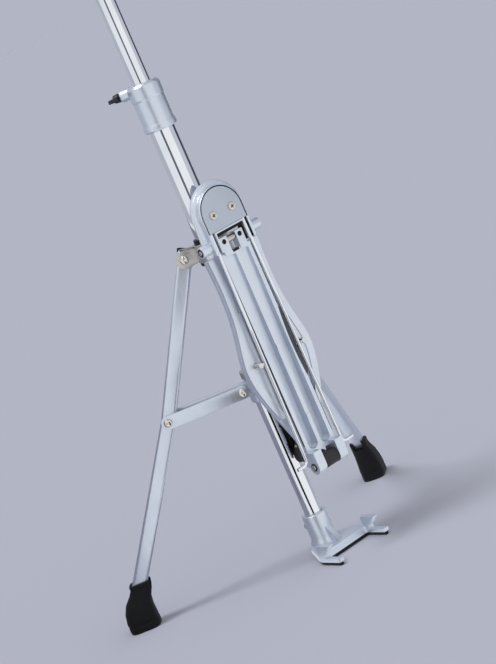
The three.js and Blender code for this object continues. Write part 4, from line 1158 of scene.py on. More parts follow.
@dataclass
class Castings:
    """The lower bracket and the base shoe, with their set screws and the rubber pad.

    hook is the record's box of the shoe's right hook, in metres, and fit the gap round a tube.
    """

    legs: Legs
    hook: Sequence[Triple]
    fit: float = 0.3
    screw_hole: float = 2.7
    post: Span = field(default_factory=lambda: Span.of("base_post"))

    def boss(self, node: str, z: float) -> Piece:
        """Returns the boss of a set screw."""
        end = Span.of(node).high.y - 3.7
        return bar("boss", 6, (0, self.post.centre.y + 8, z), (0, end, z), 0.8)

    def finished(self, made: Piece, node: str, z: float, *cutters: Piece) -> None:
        """Cuts and dresses a casting, and makes its hexagon socket screw.

        Args:
            made: The joined casting.
            node: Its node.
            z: Height of its screw.
            cutters: What is cut from it before the screw's hole.
        """
        kind = node.split("_")[1]
        screw, end = Span.of(f"{kind}_set_screw"), Span.of(node).high.y + OVERRUN
        hole = bar("hole", self.screw_hole, (0, self.post.centre.y, z), (0, end, z))
        cut(made, *cutters, hole)
        dress(softened(made, 0.7, 3, 35), Finish.CASTING, "stand", node)
        face = screw.high.y - 3.4
        shank = bar(f"{kind}_socket_screw", 2.4, (0, screw.low.y, z), (0, face + 1, z))
        head = bar("head", 4.4, (0, face, z), (0, face + 3.4, z), 0.5)
        socket = bar("socket", 2.3, (0, face + 1.4, z), (0, face + 6, z), sides=6)
        cut(joined(shank, head), socket)
        dress(shank, Finish.NICKEL, "stand", f"{kind}_set_screw")

    def bracket(self) -> None:
        """Makes the casting that ties the tube and the post."""
        low, high, post_y = 187.0, 213.0, self.post.centre.y
        z = (low + high) / 2
        bore, post_bore = Span.of("main_tube").radius + self.fit, self.post.radius + self.fit
        profile = ring_profile(bore, bore + 4.4, low, high)
        made = turned("cast_lower_bracket", profile, ease=1.6)
        clamp = turned("clamp", disc_profile(post_bore + 3, low, high), (0, post_y), ease=1.2)
        web = block("web", (-10, bore - self.fit + 1, low + 1.2), (10, post_y, high - 1.2))
        boss = self.boss("bracket_set_screw", z)
        ears = []
        half, level = self.legs.width / 2, self.legs.stay_z
        for side in SIGNS:
            self.legs.face(side)
            start = (Span.of("main_tube").radius + 1.5, level)
            outline = stadium(start, (self.legs.pivot, level), 8.4, 7.2)
            rings = [[self.legs.at(r, across, z) for r, z in outline] for across in (-half, half)]
            ears.append(loft("ear", rings))
        joined(made, clamp, web, boss, *ears)
        bores = [
            upright(radius, low - OVERRUN, high + OVERRUN, y)
            for radius, y in ((bore, 0), (post_bore, post_y))
        ]
        self.finished(made, "lower_bracket", z, *bores)

    def outline(self, pad: Span, inset: float) -> list[Point]:
        """Returns the shoe's outline seen from above, drawn in by an inset."""
        half, arm, back_half = pad.size.x / 2 + 1 - inset, 38 - 7 + inset, 15 - inset
        front, step, back = pad.low.y - 1 + inset, -6 + inset, pad.high.y + 1 - inset
        corners = [
            (-half, front, 2.0), (-arm, front, 2.0), (-arm, step, 3.0), (arm, step, 3.0),
            (arm, front, 2.0), (half, front, 2.0), (half, -2.0, 8.0), (back_half, back, 8.0),
            (-back_half, back, 8.0), (-half, -2.0, 8.0),
        ]
        return eased(corners, 2, steps=5)

    def shoe(self) -> None:
        """Makes the base shoe with its socket and hooked arms, and the pad under it."""
        node, pad, post_y = Span.of("base_shoe"), Span.of("base_pad"), self.post.centre.y
        low, z = node.low.z, Span.of("shoe_set_screw").centre.z
        made = prism("cast_base_shoe", self.outline(pad, 0), Plane.XY, low, low + 8)
        bore = self.post.radius + self.fit
        outer = bore + 4.2
        profile = [
            (0, low), (outer + 3.5, low + 4), (outer + 2.2, low + 9), (outer, low + 14),
            (outer, node.high.z), (0, node.high.z),
        ]
        socket = turned("socket", profile, (0, post_y), ease=1.6)
        side = [
            (-4, low + 2), (post_y, low + 2), (post_y, 34), (post_y - 12, 32), (2, 14), (-4, 11),
        ]
        parts = [socket, self.boss("shoe_set_screw", z), prism("rib", side, Plane.YZ, -3, 3)]
        for sign in SIGNS:
            start = (sign * 31.0, node.low.y + 0.5, low)
            parts.append(block("arm", start, (sign * 38.0, -4, 23)))
        joined(made, *parts)
        (_, _, lip), (_, inside, ceiling) = self.hook
        lip, inside, ceiling = lip / MM - 0.3, inside / MM + 0.3, ceiling / MM + 0.3
        front, bevel = node.low.y - OVERRUN, 1.4
        hook = [
            (front, lip), (inside - bevel, lip), (inside, lip + bevel), (inside, ceiling - bevel),
            (inside - bevel, ceiling), (inside - 2.7, ceiling), (front, ceiling + 19),
        ]
        slot = prism("slot", hook, Plane.YZ, -50, 50)
        hollow = upright(bore, self.post.low.z - 0.3, node.high.z + OVERRUN, post_y)
        self.finished(made, "base_shoe", z, slot, hollow)
        rubber = prism("ribbed_base_pad", self.outline(pad, 1), Plane.XY, 0, pad.high.z)
        dress(softened(rubber, 0.5, 2, 60), Finish.RUBBER, "stand", "base_pad")

    def build(self) -> None:
        """Makes both castings."""
        self.bracket()
        self.shoe()


@dataclass
class HeelPlate:
    """The heel plate, its cover and screws, its axle and the radius rod.

    hinge is the axle's place, as (y, z), and arch_z the height where the round top begins.
    """

    arch_z: float = 401.0
    bottom: float = 361.4
    front_half: float = 28.0
    window_half: float = 18.3
    window_top: float = 382.0
    back: float = -33.0
    groove_back: float = -37.2
    groove: float = 2.3
    wire_radius: float = 1.9
    wire_top: float = 22.6
    wire_toe: float = 26.5
    wire_bend: float = 5.0
    axle: float = 2.5
    hinge: Point = (-35.0, 370.5)
    boss: float = 6.2
    ring: float = 4.7
    recess_half: float = 27.35

    def arch(self, half: float, foot: float, bottom: float) -> list[Point]:
        """Returns an outline with straight sides and a half-round top."""
        return [(foot, bottom), *arc((0.0, self.arch_z), half, 0.0, math.pi, 48), (-foot, bottom)]

    def body(self, front: float) -> Piece:
        """Returns the stepped casting, before anything is cut from it."""
        # Depth and half-width of each step from the front rim back to the flange
        steps = [
            (front, 27.85), (front + 0.35, 28.05), (front + 6.3, 28.5), (front + 7.2, 29.6),
            (front + 7.5, 31.0), (front + 7.9, 31.7), (front + 8.5, 31.9), (front + 8.7, 32.6),
            (front + 9.0, 33.5), (front + 9.5, 34.0), (self.back - 0.4, 34.0), (self.back, 33.6),
        ]
        rings = []
        for y, half in steps:
            foot = half + (1.5 if half > self.front_half + 2 else 0.0)
            rings.append([Vector((x, y, z)) for x, z in self.arch(half, foot, self.bottom)])
        return loft("cast_heel_plate", rings)

    def wire_groove(self, front: float) -> list[Piece]:
        """Returns the cutters of the radius rod's groove: its round top, and its two sides."""
        low, high = self.wire_top - self.groove, self.wire_top + self.groove
        foot = self.bottom - OVERRUN
        ring = turned("ring", ring_profile(low, high, front, self.groove_back))
        lift = Matrix.Translation(Vector((0, 0, self.arch_z * MM)))
        moved(ring, lift @ Matrix.Rotation(-math.pi / 2, 4, "X"))
        cut(ring, block("below", (-40, -60, self.arch_z - 60), (40, -20, self.arch_z)))
        sides = [
            block("groove", (sign * low, front, foot), (sign * high, self.groove_back, self.arch_z))
            for sign in SIGNS
        ]
        return [ring, *sides]

    def shell(self) -> None:
        """Makes the stepped casting with its bosses, window, recess and wire groove."""
        cover, half = Span.of("heel_cover"), Span.of("heel_plate").radius
        front, ahead = cover.low.y, cover.low.y - OVERRUN
        made = self.body(front)
        joined(made, *(
            bar("boss", self.boss, (sign * 27, *self.hinge), (sign * half, *self.hinge), 0.6, ROUND)
            for sign in SIGNS
        ))
        inset = self.arch(self.recess_half, self.recess_half, cover.low.z - 0.3)
        recess = prism("recess", inset, Plane.XZ, ahead, front + 2.3)
        window = block(
            "window", (-self.window_half, ahead, self.bottom - OVERRUN),
            (self.window_half, self.back + OVERRUN, self.window_top),
        )
        hole = bar("hole", self.axle + 0.2, (-50, *self.hinge), (50, *self.hinge))
        counterbores = [
            bar("bore", self.ring, (sign * (half - 2.4), *self.hinge), (sign * 50, *self.hinge))
            for sign in SIGNS
        ]
        ring, *sides = self.wire_groove(ahead)
        cut(made, recess, window, hole, ring, *counterbores, *sides)
        dress(softened(made, 0.3, 3, 35), Finish.CASTING, "heel", "heel_plate")

    def cover(self) -> None:
        """Makes the inset cover, and a thin black sheet behind its edge that is painted shade in
        the gap round the cover.
        """
        span = Span.of("heel_cover")
        half = span.radius - 0.3
        outline = self.arch(half, half, span.low.z)
        made = prism("inset_heel_cover", outline, Plane.XZ, span.low.y, span.high.y)
        dress(softened(made, 0.35, 3, 40), Finish.COVER, "heel", "heel_cover")
        # Painted shade: a black sheet at the back of the gap between the cover and its recess
        half = self.recess_half - 0.15
        outline, back = self.arch(half, half, span.low.z), span.high.y
        gasket = prism("cover_gasket", outline, Plane.XZ, back + 0.1, back + 0.55)
        dress(gasket, Finish.NYLON, "heel")

    def cover_screws(self) -> None:
        """Makes the cover's two cross-head screws, with black painted at the bottom of each cross
        as the shade in its recess.
        """
        screw = Span.of("left_cover_screw")
        radius, top = screw.radius, screw.size.y
        profile = [
            (0, 0), (radius - 0.1, 0), (radius, 0.25), (radius * 0.86, top * 0.85),
            (radius * 0.6, top), (0, top),
        ]
        head, reach, cross = turned("head", profile, sides=SMALL_ROUND), 2.3, []
        for turn in (0.35, 0.35 + math.pi / 2):
            turning = Matrix.Rotation(turn, 4, "Z")
            slot = block("slot", (-reach, -0.55, top - 0.9), (reach, 0.55, top + 1))
            cut(head, moved(slot, turning))
            # Painted shade: a black bar at the bottom of each arm of the cross
            lining = block("lining", (-reach, -0.5, top - 0.85), (reach, 0.5, top - 0.45))
            cross.append(moved(lining, turning))
        joined(*cross)
        places = [
            Vector((sign * abs(screw.centre.x), screw.high.y, screw.centre.z)) for sign in SIGNS
        ]
        screws = [f"{label}_cover_screw" for _, label in SIDES]
        for shape, name, finish, nodes in (
            (head, "cross_head_cover_screws", Finish.SCREW, screws),
            (cross[0], "cover_screw_crosses", Finish.NYLON, ()),
        ):
            moved(shape, Matrix.Rotation(math.pi / 2, 4, "X"))
            dress(repeated(name, shape, places, finish.material()), finish, "heel", *nodes)

    def rod(self) -> None:
        """Bends the radius rod from one bright wire."""
        span, bend, top = Span.of("radius_rod"), self.wire_bend, self.wire_top
        y, toe_z = span.centre.y, span.low.z + self.wire_radius
        half = [Vector((span.high.x, y, toe_z))]
        for angle in (math.pi / 2 * k / 10 for k in range(11)):
            x = self.wire_toe + bend * (1 - math.sin(angle))
            half.append(Vector((x, y, toe_z + bend * (1 - math.cos(angle)))))
        half.append(Vector((top, y, Span.of("heel_cover").low.z)))
        for x, z in arc((0.0, self.arch_z), top, 0.0, math.pi / 2, 24)[:-1]:
            half.append(Vector((x, y, z)))
        mirrored = [Vector((-p.x, p.y, p.z)) for p in half[::-1]]
        path = [*half, Vector((0, y, self.arch_z + top)), *mirrored]
        made = wire("bent_radius_rod", path, self.wire_radius, Finish.CHROME.material())
        dress(made, Finish.CHROME, "heel", "radius_rod", angle=50)

    def axle_parts(self) -> None:
        """Makes the axle and the bush at each end."""
        span = Span.of("heel_axle")
        start, end = (span.low.x, *self.hinge), (span.high.x, *self.hinge)
        made = bar("turned_heel_axle", self.axle, start, end, 0.6)
        dress(made, Finish.NICKEL, "heel", "heel_axle")
        profile = ring_profile(self.axle + 0.15, self.ring - 0.1, 0, 1.5)
        for sign, label in SIDES:
            bush = turned(f"{label}_heel_bush", profile, sides=SMALL_ROUND)
            aimed(bush, (sign, 0, 0), (sign * (span.high.x - 2.7), *self.hinge))
            dress(bush, Finish.NYLON, "heel")

    def window_lining(self) -> None:
        """Lines the window in black round the board's knuckles, as painted shade where the window
        only holds shade, and sleeves the axle between.
        """
        half, high, wall = self.window_half - 0.2, self.window_top - 0.2, 1.5
        made = block("window_lining", (-half, -40.5, self.bottom + 0.3), (half, -33.3, high))
        low = (-half + wall, -60, self.bottom + 0.3 - OVERRUN)
        cut(made, block("inside", low, (half - wall, 0, high - 3.4)))
        dress(made, Finish.NYLON, "heel")
        sleeve = bar("axle_sleeve", 3.9, (-5.5, *self.hinge), (5.5, *self.hinge), 0.6)
        cut(sleeve, bar("bore", self.axle + 0.1, (-9, *self.hinge), (9, *self.hinge)))
        dress(sleeve, Finish.STEEL, "heel")

    def build(self) -> None:
        """Makes the heel plate and all that rides with it."""
        self.shell()
        self.cover()
        self.cover_screws()
        self.rod()
        self.axle_parts()
        self.window_lining()


@dataclass
class Footboard:
    """The footboard with its rims, pockets, slots, knuckles, clips and toe axle.

    toe and heel are the hinges, as (y, z), and clip is (x, z). Pairs that begin with slot are for
    the left and the right slot. The shares give the width along the board.
    """

    toe: Point = (-41.0, 110.0)
    heel: Point = (-35.0, 370.5)
    half: float = 46.0
    board_half: float = 20.0
    skin: float = 3.5
    depth: float = 13.5
    back: float = -25.0
    bottom: float = 122.6
    top: float = 358.4
    rim: float = 9.0
    rim_height: float = 4.5
    fork: float = 8.4
    lug: float = 10.3
    knuckle: float = 11.0
    clip: Point = (31.6, 236.0)
    slot_ends: Point = (0.0, 6.4)
    slot_widths: Point = (2.4, 3.6)
    slot_bites: Point = (0.0, 3.3)
    slot_lows: Point = (191.0, 199.0)
    slot_high: float = 281.0
    fill: float = 3.4
    length_shares: tuple = (
        0, 0.06, 0.129, 0.225, 0.31, 0.382, 0.443, 0.507, 0.563, 0.644, 0.724, 0.805, 0.905, 1,
    )
    width_shares: tuple = (
        0.37, 0.38, 0.435, 0.62, 0.796, 0.913, 0.983, 1, 0.957, 0.859, 0.783, 0.75, 0.748, 0.776,
    )

    @property
    def floor(self) -> float:
        """Depth of the foot surface's inside."""
        return self.back - self.skin

    @property
    def face(self) -> float:
        """Depth of the centre board's face."""
        return self.back - self.depth

    def level(self, share: float) -> float:
        """Returns the height at a share of the board's length."""
        return self.toe[1] + (self.top - self.toe[1]) * share

    def side(self, inset: float) -> list[Point]:
        """Returns the right edge of the foot surface, toe to heel, drawn in by an inset."""
        points = [
            (self.half * width - inset, self.level(share))
            for share, width in zip(self.length_shares, self.width_shares)
        ]
        return [(x, min(z, self.top)) for x, z in curve_through(points, 8) if z > self.bottom]

    def rims(self) -> list[Piece]:
        """Returns the raised rims along both edges."""
        start = self.level(0.24)
        edges = [[p for p in self.side(inset) if p[1] > start] for inset in (0.6, self.rim)]
        outline = edges[0] + edges[1][::-1]
        low, high = self.floor - self.rim_height, self.floor + 1
        return [
            prism("rim", [(sign * x, z) for x, z in outline], Plane.XZ, low, high)
            for sign in SIGNS
        ]

    def pockets(self) -> list[Piece]:
        """Returns the cutters of the two long pockets, whose floors rise towards the heel."""
        near, far, low, high = 2.3, 15.4, 127, 354
        # The floor rises by this slope above this height, and the walls lean in by the draft
        slope, level, lean = 0.13, 300, 0.9
        radius = (far - near) / 2
        cutters = []
        for sign in SIGNS:
            centre = sign * (near + radius)
            outline = stadium((centre, low + radius), (centre, high - 1.5), radius, radius)
            outline = [(x, min(z, high)) for x, z in outline]
            middle = sum(z for _, z in outline) / len(outline)
            rings = []
            for depth in (self.face - OVERRUN, self.face, self.floor):
                draft = 0.0 if depth <= self.face else lean
                rings.append([
                    Vector((
                        centre + (x - centre) * (1 - draft / radius),
                        depth if depth < self.floor else self.floor - max(0.0, z - level) * slope,
                        z - math.copysign(draft, z - middle),
                    ))
                    for x, z in outline
                ])
            cutters.append(loft("pocket", rings))
        return cutters

    def slot_outline(self, sign: int, inset: float = 0.0) -> list[Point]:
        """Returns the outline of the pointed slot on one side of the centre board.

        Args:
            sign: -1 for the left side, 1 for the right.
            inset: How far the outline is drawn in.

        Returns:
            The outline.
        """
        side, steps = (sign + 1) // 2, 24
        low, high = self.slot_lows[side] + inset * 4, self.slot_high - inset * 4
        start, end = self.board_half + 0.6 + inset, self.slot_ends[side]
        wide, bite = self.slot_widths[side] - 2 * inset, self.slot_bites[side]
        inner, outer = [], []
        for t in (k / steps for k in range(steps + 1)):
            x, z = start - bite * 4 * t * (1 - t), low - end + (high - low + 2 * end) * t
            inner.append((sign * x, z))
            if 0 < t < 1:
                x, z = start + end + wide * 4 * t * (1 - t), low + (high - low) * t
                outer.append((sign * x, z))
        return inner[::-1] + outer

    def clip_roots(self) -> list[Piece]:
        """Returns the pads that carry the wire clips."""
        roots, width = [], 4.4
        for sign in SIGNS:
            x, z = sign * self.clip[0], self.clip[1]
            edge = sign * (self.half - self.rim + 1)
            roots += [
                bar("root", width, (x, self.floor, z), (x, self.back, z)),
                block("root", (x, self.floor, z - width), (edge, self.back, z + width)),
            ]
        return roots

    def wing_fills(self) -> list[Piece]:
        """Returns the raised panels between the slots and the rims."""
        fills, outer = [], [p for p in self.side(self.rim - 1) if 172 < p[1] < 296]
        for side, sign in enumerate(SIGNS):
            near = self.board_half + 0.8 + self.slot_ends[side] + self.slot_widths[side]
            edge = [(sign * max(x, near + 0.4), z) for x, z in outer]
            outline = [(sign * near, outer[0][1]), *edge, (sign * near, outer[-1][1])]
            fills.append(prism("fill", outline, Plane.XZ, self.floor - self.fill, self.floor + 1))
        return fills

    def grip(self) -> None:
        """Backs the slots with grey rubber and edges the centre board with black strips, both as
        painted shade, and ribs the foot surface.
        """
        x, z = self.clip
        gap = 4.7
        for sign, label in SIDES:
            # Painted shade: the grey rubber behind each slot stands for the dark seen through it
            top = self.floor - (self.fill - 0.3 if sign > 0 else -1.9)
            outline = self.slot_outline(sign, 0.15)
            made = prism(f"{label}_slot_rubber", outline, Plane.XZ, top, self.back - 0.4)
            cut(made, block("gap", (sign * (x - gap), -40, z - gap), (sign * 45, -20, z + gap)))
            dress(made, Finish.GRIP, "board")
            # Painted shade: thin black strips along the centre board's edges, for the shade beside
            # the radius rod
            near, far, edge = self.board_half + 0.02, self.board_half + 0.75, self.face + 0.2
            corner = (sign * far, edge + 1.2, self.top - 3)
            strip = block(f"{label}_edge_strip", (sign * near, edge, self.bottom + 12), corner)
            cut(strip, prism("slot", self.slot_outline(sign), Plane.XZ, edge - 1, edge + 3))
            dress(strip, Finish.NYLON, "board")
        rib = softened(block("rib", (-13.5, -0.6, -1.3), (13.5, 0.7, 1.3)), 0.4, 2, 40)
        places = [Vector((0, self.back, 150.0 + 15.0 * k)) for k in range(13)]
        made = repeated("foot_grip_ribs", rib, places, Finish.GRIP.material())
        dress(made, Finish.GRIP, "board")

    def lugs(self) -> tuple[list[Piece], list[Piece], list[Piece]]:
        """Returns the toe lugs, the heel knuckles, and the cutters of the knuckles' holes."""
        toe_y, toe_z = self.toe
        heel_y, heel_z = self.heel
        lobes, knuckles, holes = [], [], []
        for sign in SIGNS:
            near, far = sorted((sign * self.lug, sign * 21.2))
            low, high = (near, toe_y - self.fork, toe_z), (far, self.floor, self.bottom + 4)
            lobe = bar("lobe", self.fork, (near, *self.toe), (far, *self.toe), sides=ROUND)
            lobes += [lobe, block("cheek", low, high)]
            x = sign * self.knuckle
            low, high = (x - 5, heel_y - 5, self.top - 2), (x + 5, heel_y + 5, heel_z + 5)
            knuckles.append(block("knuckle", low, high))
            holes.append(bar("hole", 2.8, (x, heel_y - 7, heel_z), (x, heel_y - 3.1, heel_z)))
        return lobes, knuckles, holes

    def casting(self) -> None:
        """Makes the footboard's casting."""
        edge, face, floor = self.side(0), self.face, self.floor
        foot = edge[0][0]
        outline = [
            (foot, self.bottom), *edge, *[(-x, z) for x, z in edge[::-1]], (-foot, self.bottom),
        ]
        made = prism("cast_footboard", outline, Plane.XZ, floor, self.back)
        corner = (self.board_half, floor + 1, self.top)
        centre = block("centre", (-self.board_half, face, self.bottom), corner)
        lobes, knuckles, holes = self.lugs()
        bosses = [
            bar("boss", 3.6, (0, face - 0.8, z), (0, floor + 0.5, z), 0.5)
            for z in (self.level(0.206), self.level(0.54))
        ]
        joined(made, centre, *self.rims(), *lobes, *knuckles, *bosses)
        axles = [
            bar("axle", radius, (-40, *at), (40, *at))
            for radius, at in ((3.0, self.toe), (2.7, self.heel))
        ]
        slots = [
            prism("slot", self.slot_outline(sign), Plane.XZ, floor - 12, self.back + OVERRUN)
            for sign in SIGNS
        ]
        low, high = (-4.4, face - OVERRUN, self.top - 2.6), (4.4, -34, self.top + OVERRUN)
        cut(made, *self.pockets(), *slots, *holes, *axles, block("notch", low, high))
        joined(made, *self.clip_roots(), *self.wing_fills())
        x, z = self.clip
        cut(made, *(
            bar("hole", 3.3, (sign * x, face - 9, z), (sign * x, floor, z)) for sign in SIGNS
        ))
        dress(softened(made, 0.45, 3, 35), Finish.CASTING, "board", "footboard")
        # Painted shade: a black block fills the notch between the heel knuckles
        low, high = (-4.2, face + 0.3, self.top - 2.4), (4.2, -34.2, self.top - 0.2)
        dress(block("knuckle_stop", low, high), Finish.NYLON, "board")

    def knuckle_plugs(self) -> None:
        """Fills the knuckles' holes with black discs, as painted shade in the holes."""
        heel_y, heel_z = self.heel
        places = [Vector((sign * self.knuckle, heel_y - 4.2, heel_z)) for sign in SIGNS]
        plug = bar("plug", 2.7, (0, 0, 0), (0, 1.0, 0))
        made = repeated("knuckle_plugs", plug, places, Finish.NYLON.material())
        dress(made, Finish.NYLON, "board")

    def toe_axle(self) -> None:
        """Makes the toe axle with a dimple in each end, and its washers."""
        axle = Span.of("toe_axle")
        radius, end = axle.size.z / 2, axle.high.x
        made = bar("turned_toe_axle", radius, (axle.low.x, *self.toe), (end, *self.toe), 0.5)
        cut(made, *(
            bar("dimple", 1.3, (sign * (end - 0.8), *self.toe), (sign * 40, *self.toe))
            for sign in SIGNS
        ))
        dress(made, Finish.NICKEL, "board", "toe_axle")
        profile = ring_profile(radius + 0.1, 4.5, 0, 0.7)
        for sign, label in SIDES:
            washer = turned(f"{label}_toe_washer", profile, ease=0.2, sides=SMALL_ROUND)
            aimed(washer, (sign, 0, 0), (sign * 21.3, *self.toe))
            dress(washer, Finish.DARK_STEEL, "board")

    def wire_clips(self) -> None:
        """Makes the posts and catches that hold the radius rod beside the board."""
        for sign, label in SIDES:
            node = f"{label}_wire_clip"
            span, x, z = Span.of(node), sign * self.clip[0], self.clip[1]
            ends = (x, span.low.y, z), (x, span.high.y, z)
            post = bar(f"{label}_turned_wire_clip", 3.1, *ends, 0.7)
            inner = span.high.x if sign < 0 else span.low.x
            joined(post, block("catch", (inner, -40.8, z - 1.2), (x, -38.4, z + 1.2)))
            dress(softened(post, 0.3, 2, 50), Finish.TURNED, "board", node)

    def build(self) -> None:
        """Makes the footboard and its small parts."""
        self.casting()
        self.grip()
        self.knuckle_plugs()
        self.toe_axle()
        self.wire_clips()


@dataclass
class Drive:
    """The drive link with its toe block, the rod end and the pin.

    pin and toe are (y, z); near and far are the faces of the link's cheeks.
    """

    pin: Point = (0.0, 118.0)
    toe: Point = (-41.0, 110.0)
    near: float = 5.3
    far: float = 8.3
    half: float = 9.7
    pin_hole: float = 2.7
    reach: float = 30.0

    def hole(self, radius: float, at: Point) -> Piece:
        """Returns the cutter of a hole from side to side."""
        return bar("hole", radius, (-self.reach, *at), (self.reach, *at))

    def link(self) -> None:
        """Makes the toe block with the link's two cheeks."""
        (toe_y, toe_z), (pin_y, pin_z) = self.toe, self.pin
        corners = [
            (toe_y - 7.2, toe_z - 3.6), (toe_y - 3.6, toe_z - 7.2), (toe_y + 7.2, toe_z - 7.2),
            (toe_y + 7.2, toe_z + 8.6), (toe_y - 3.6, toe_z + 8.6), (toe_y - 7.2, toe_z + 3.6),
        ]
        made = prism("moulded_drive_link", eased(corners, 1.4), Plane.YZ, -self.half, self.half)
        nose = stadium((pin_y - 6, pin_z + 13), self.pin, 3.4, 7)
        arm = stadium(self.toe, self.pin, 4.4, 5.6)
        cheeks = [
            prism("cheek", outline, Plane.YZ, sign * self.near, sign * self.far)
            for sign in SIGNS for outline in (nose, arm)
        ]
        joined(made, *cheeks)
        cut(made, self.hole(3.0, self.toe), self.hole(self.pin_hole, self.pin))
        dress(softened(made, 0.5, 3, 35), Finish.WORN_NYLON, "link", "drive_link")

    def build(self) -> None:
        """Makes the link, the screw on it, the rod end and the pin."""
        self.link()
        screw = Span.of("link_screw")
        start, end = ((x, screw.centre.y, screw.centre.z) for x in (screw.high.x, screw.low.x))
        made = bar("plated_link_screw", 1.6, start, end, 0.4)
        dress(made, Finish.NICKEL, "link", "link_screw")
        span = Span.of("rod_end")
        fork = block("machined_rod_end", span.low, span.high)
        bore = bar("bore", 3.2, (0, 0, 127.7), (0, 0, 150))
        cut(fork, bore, self.hole(self.pin_hole, self.pin))
        dress(softened(fork, 0.9, 3, 35), Finish.DARK_STEEL, "rod", "rod_end")
        span = Span.of("drive_pin")
        made = bar("plated_drive_pin", 2.5, (span.low.x, *self.pin), (span.high.x, *self.pin), 0.5)
        dress(made, Finish.DARK_STEEL, "rod", "drive_pin")


@dataclass
class TopWork:
    """The height clamp, the tilter with its seat, and the clutch.

    clamp_turn is the direction of the clamp's screw, in degrees.
    """

    fit: float = 0.3
    bore: float = 10.3
    clamp_low: float = 502.0
    clamp_high: float = 554.0
    clamp_turn: float = 130.0
    sleeve: float = 5.4
    rod_bore: float = 3.3

    def clamp(self) -> None:
        """Makes the height clamp."""
        bush, low, high, bore = Span.of("height_bush"), self.clamp_low, self.clamp_high, self.bore
        inner, outer = bush.radius + self.fit, bush.radius + self.fit + 4
        z, seat, waist = (bush.high.z + high) / 2, bush.high.z + self.fit, outer - 0.9
        angle = math.radians(self.clamp_turn)
        out = Vector((math.cos(angle), math.sin(angle), 0))
        profile = [
            (inner, low), (outer - 0.6, low), (outer, low + 2), (outer, low + 6), (waist, low + 8),
            (waist, seat - 7), (outer, seat - 5), (outer, high - 3), (outer - 2.4, high),
            (bore, high), (bore, seat), (inner, seat),
        ]
        made = turned("cast_height_clamp", profile, ease=0.8)
        reach = outer + 8
        joined(made, bar("boss", 6.5, polar(out, 14, z), polar(out, reach, z), 0.9))
        hole = bar("hole", 2.8, (0, 0, z), polar(out, reach + OVERRUN, z))
        cut(made, upright(bore, seat - 3, high + OVERRUN), hole)
        dress(softened(made, 0.5, 3, 40), Finish.CASTING, "stand", "height_clamp")
        self.height_bush(bush)
        screw = moved(
            wing_screw("height_wing_screw_forged", reach - 10, 18),
            Matrix.Rotation(math.pi / 2, 4, "Z"),
            Matrix.Rotation(math.pi / 2, 4, "Y"),
            Matrix.Rotation(angle, 4, "Z"),
            Matrix.Translation(polar(out, bore, z) * MM),
        )
        dress(screw, Finish.DARK_STEEL, "height_screw", "height_wing_screw")

    def height_bush(self, span: Span) -> None:
        """Makes the bush that the upper tube slides in."""
        low, high, neck = span.low.z, span.high.z, 12.5
        profile = [
            (self.bore, low), (neck, low), (neck, high - 2.6), (span.radius, high - 2.6),
            (span.radius, high), (self.bore, high),
        ]
        made = turned("moulded_height_bush", profile, ease=0.3)
        dress(made, Finish.NYLON, "stand", "height_bush")

    def tilter(self) -> None:
        """Makes the tilter and its knurled screw."""
        node, screw = Span.of("tilter_base"), Span.of("tilter_screw")
        radius, low, ridge, x = node.high.y, node.low.z, node.high.z, screw.centre.x
        top = ridge - 3.7
        profile = [
            (0, low), (radius, low), (radius, low + 4), (radius - 0.8, low + 5),
            (radius - 0.8, top - 9), (radius, top - 8), (radius, top), (0, top),
        ]
        made = turned("cast_tilter", profile, ease=0.7)
        arm = prism("arm", stadium((x, 0), (0, 0), 6, 9), Plane.XY, top - 8, top)
        joined(made, arm, block("rise", (8.8, -6, top - 8), (13.2, 6, ridge)))
        holes = [
            bar("hole", width, (at, 0, low), (at, 0, ridge + OVERRUN))
            for width, at in ((5, 0), (2.6, x))
        ]
        cut(made, upright(self.bore, low - OVERRUN, 765.3), *holes)
        dress(softened(made, 0.6, 3, 35), Finish.CASTING, "upper", "tilter_base")
        self.knurled_screw(screw)

    def knurled_screw(self, span: Span) -> None:
        """Makes the tilter's screw with a grooved knob."""
        low, high, radius, knob = span.low.z, span.high.z, span.radius, 8.0
        levels = [
            (radius * 0.82, low), (radius, low + 0.8), (radius, low + knob - 0.8),
            (radius * 0.85, low + knob),
        ]
        centre = (span.centre.x, 0)
        made = knurled("knurled_tilter_screw", centre, levels, 4, 0.08, 48)
        profile = disc_profile(2.4, low + knob - 1, high)
        shank = turned("shank", profile, centre, ease=0.4, sides=SMALL_ROUND)
        dress(joined(made, shank), Finish.NICKEL, "tilt_screw", "tilter_screw")

    def seat(self) -> None:
        """Makes the seat of the lower cymbal with its felt."""
        span, inner, neck = Span.of("seat_plate"), 5, 6.6
        low, high, outer = span.low.z, span.high.z, span.radius
        profile = [
            (inner, low), (outer - 8, low), (outer, low + 1.2), (outer, low + 3.2),
            (outer - 1, low + 4), (neck, low + 4), (neck, high), (inner, high),
        ]
        made = turned("moulded_cymbal_seat", profile, ease=0.4)
        dress(made, Finish.NYLON, "upper", "seat_plate")
        self.felt_ring("cymbal_seat_felt", "seat_felt", 6.9, "upper")

    def felt_ring(self, name: str, node: str, inner: float, body: str) -> None:
        """Makes a felt washer with soft, slightly crowned faces in place of a node."""
        span = Span.of(node)
        low, high, outer = span.low.z, span.high.z, span.radius
        profile = [
            (inner, low + 0.5), (inner + 2, low), (outer - 2.5, low), (outer - 0.3, low + 1.6),
            (outer, (low + high) / 2), (outer - 0.3, high - 1.6), (outer - 2.5, high),
            (inner + 2, high), (inner, high - 0.5),
        ]
        made = turned(name, profile, ease=1.0)
        dress(made, Finish.FELT, body, node, angle=60)

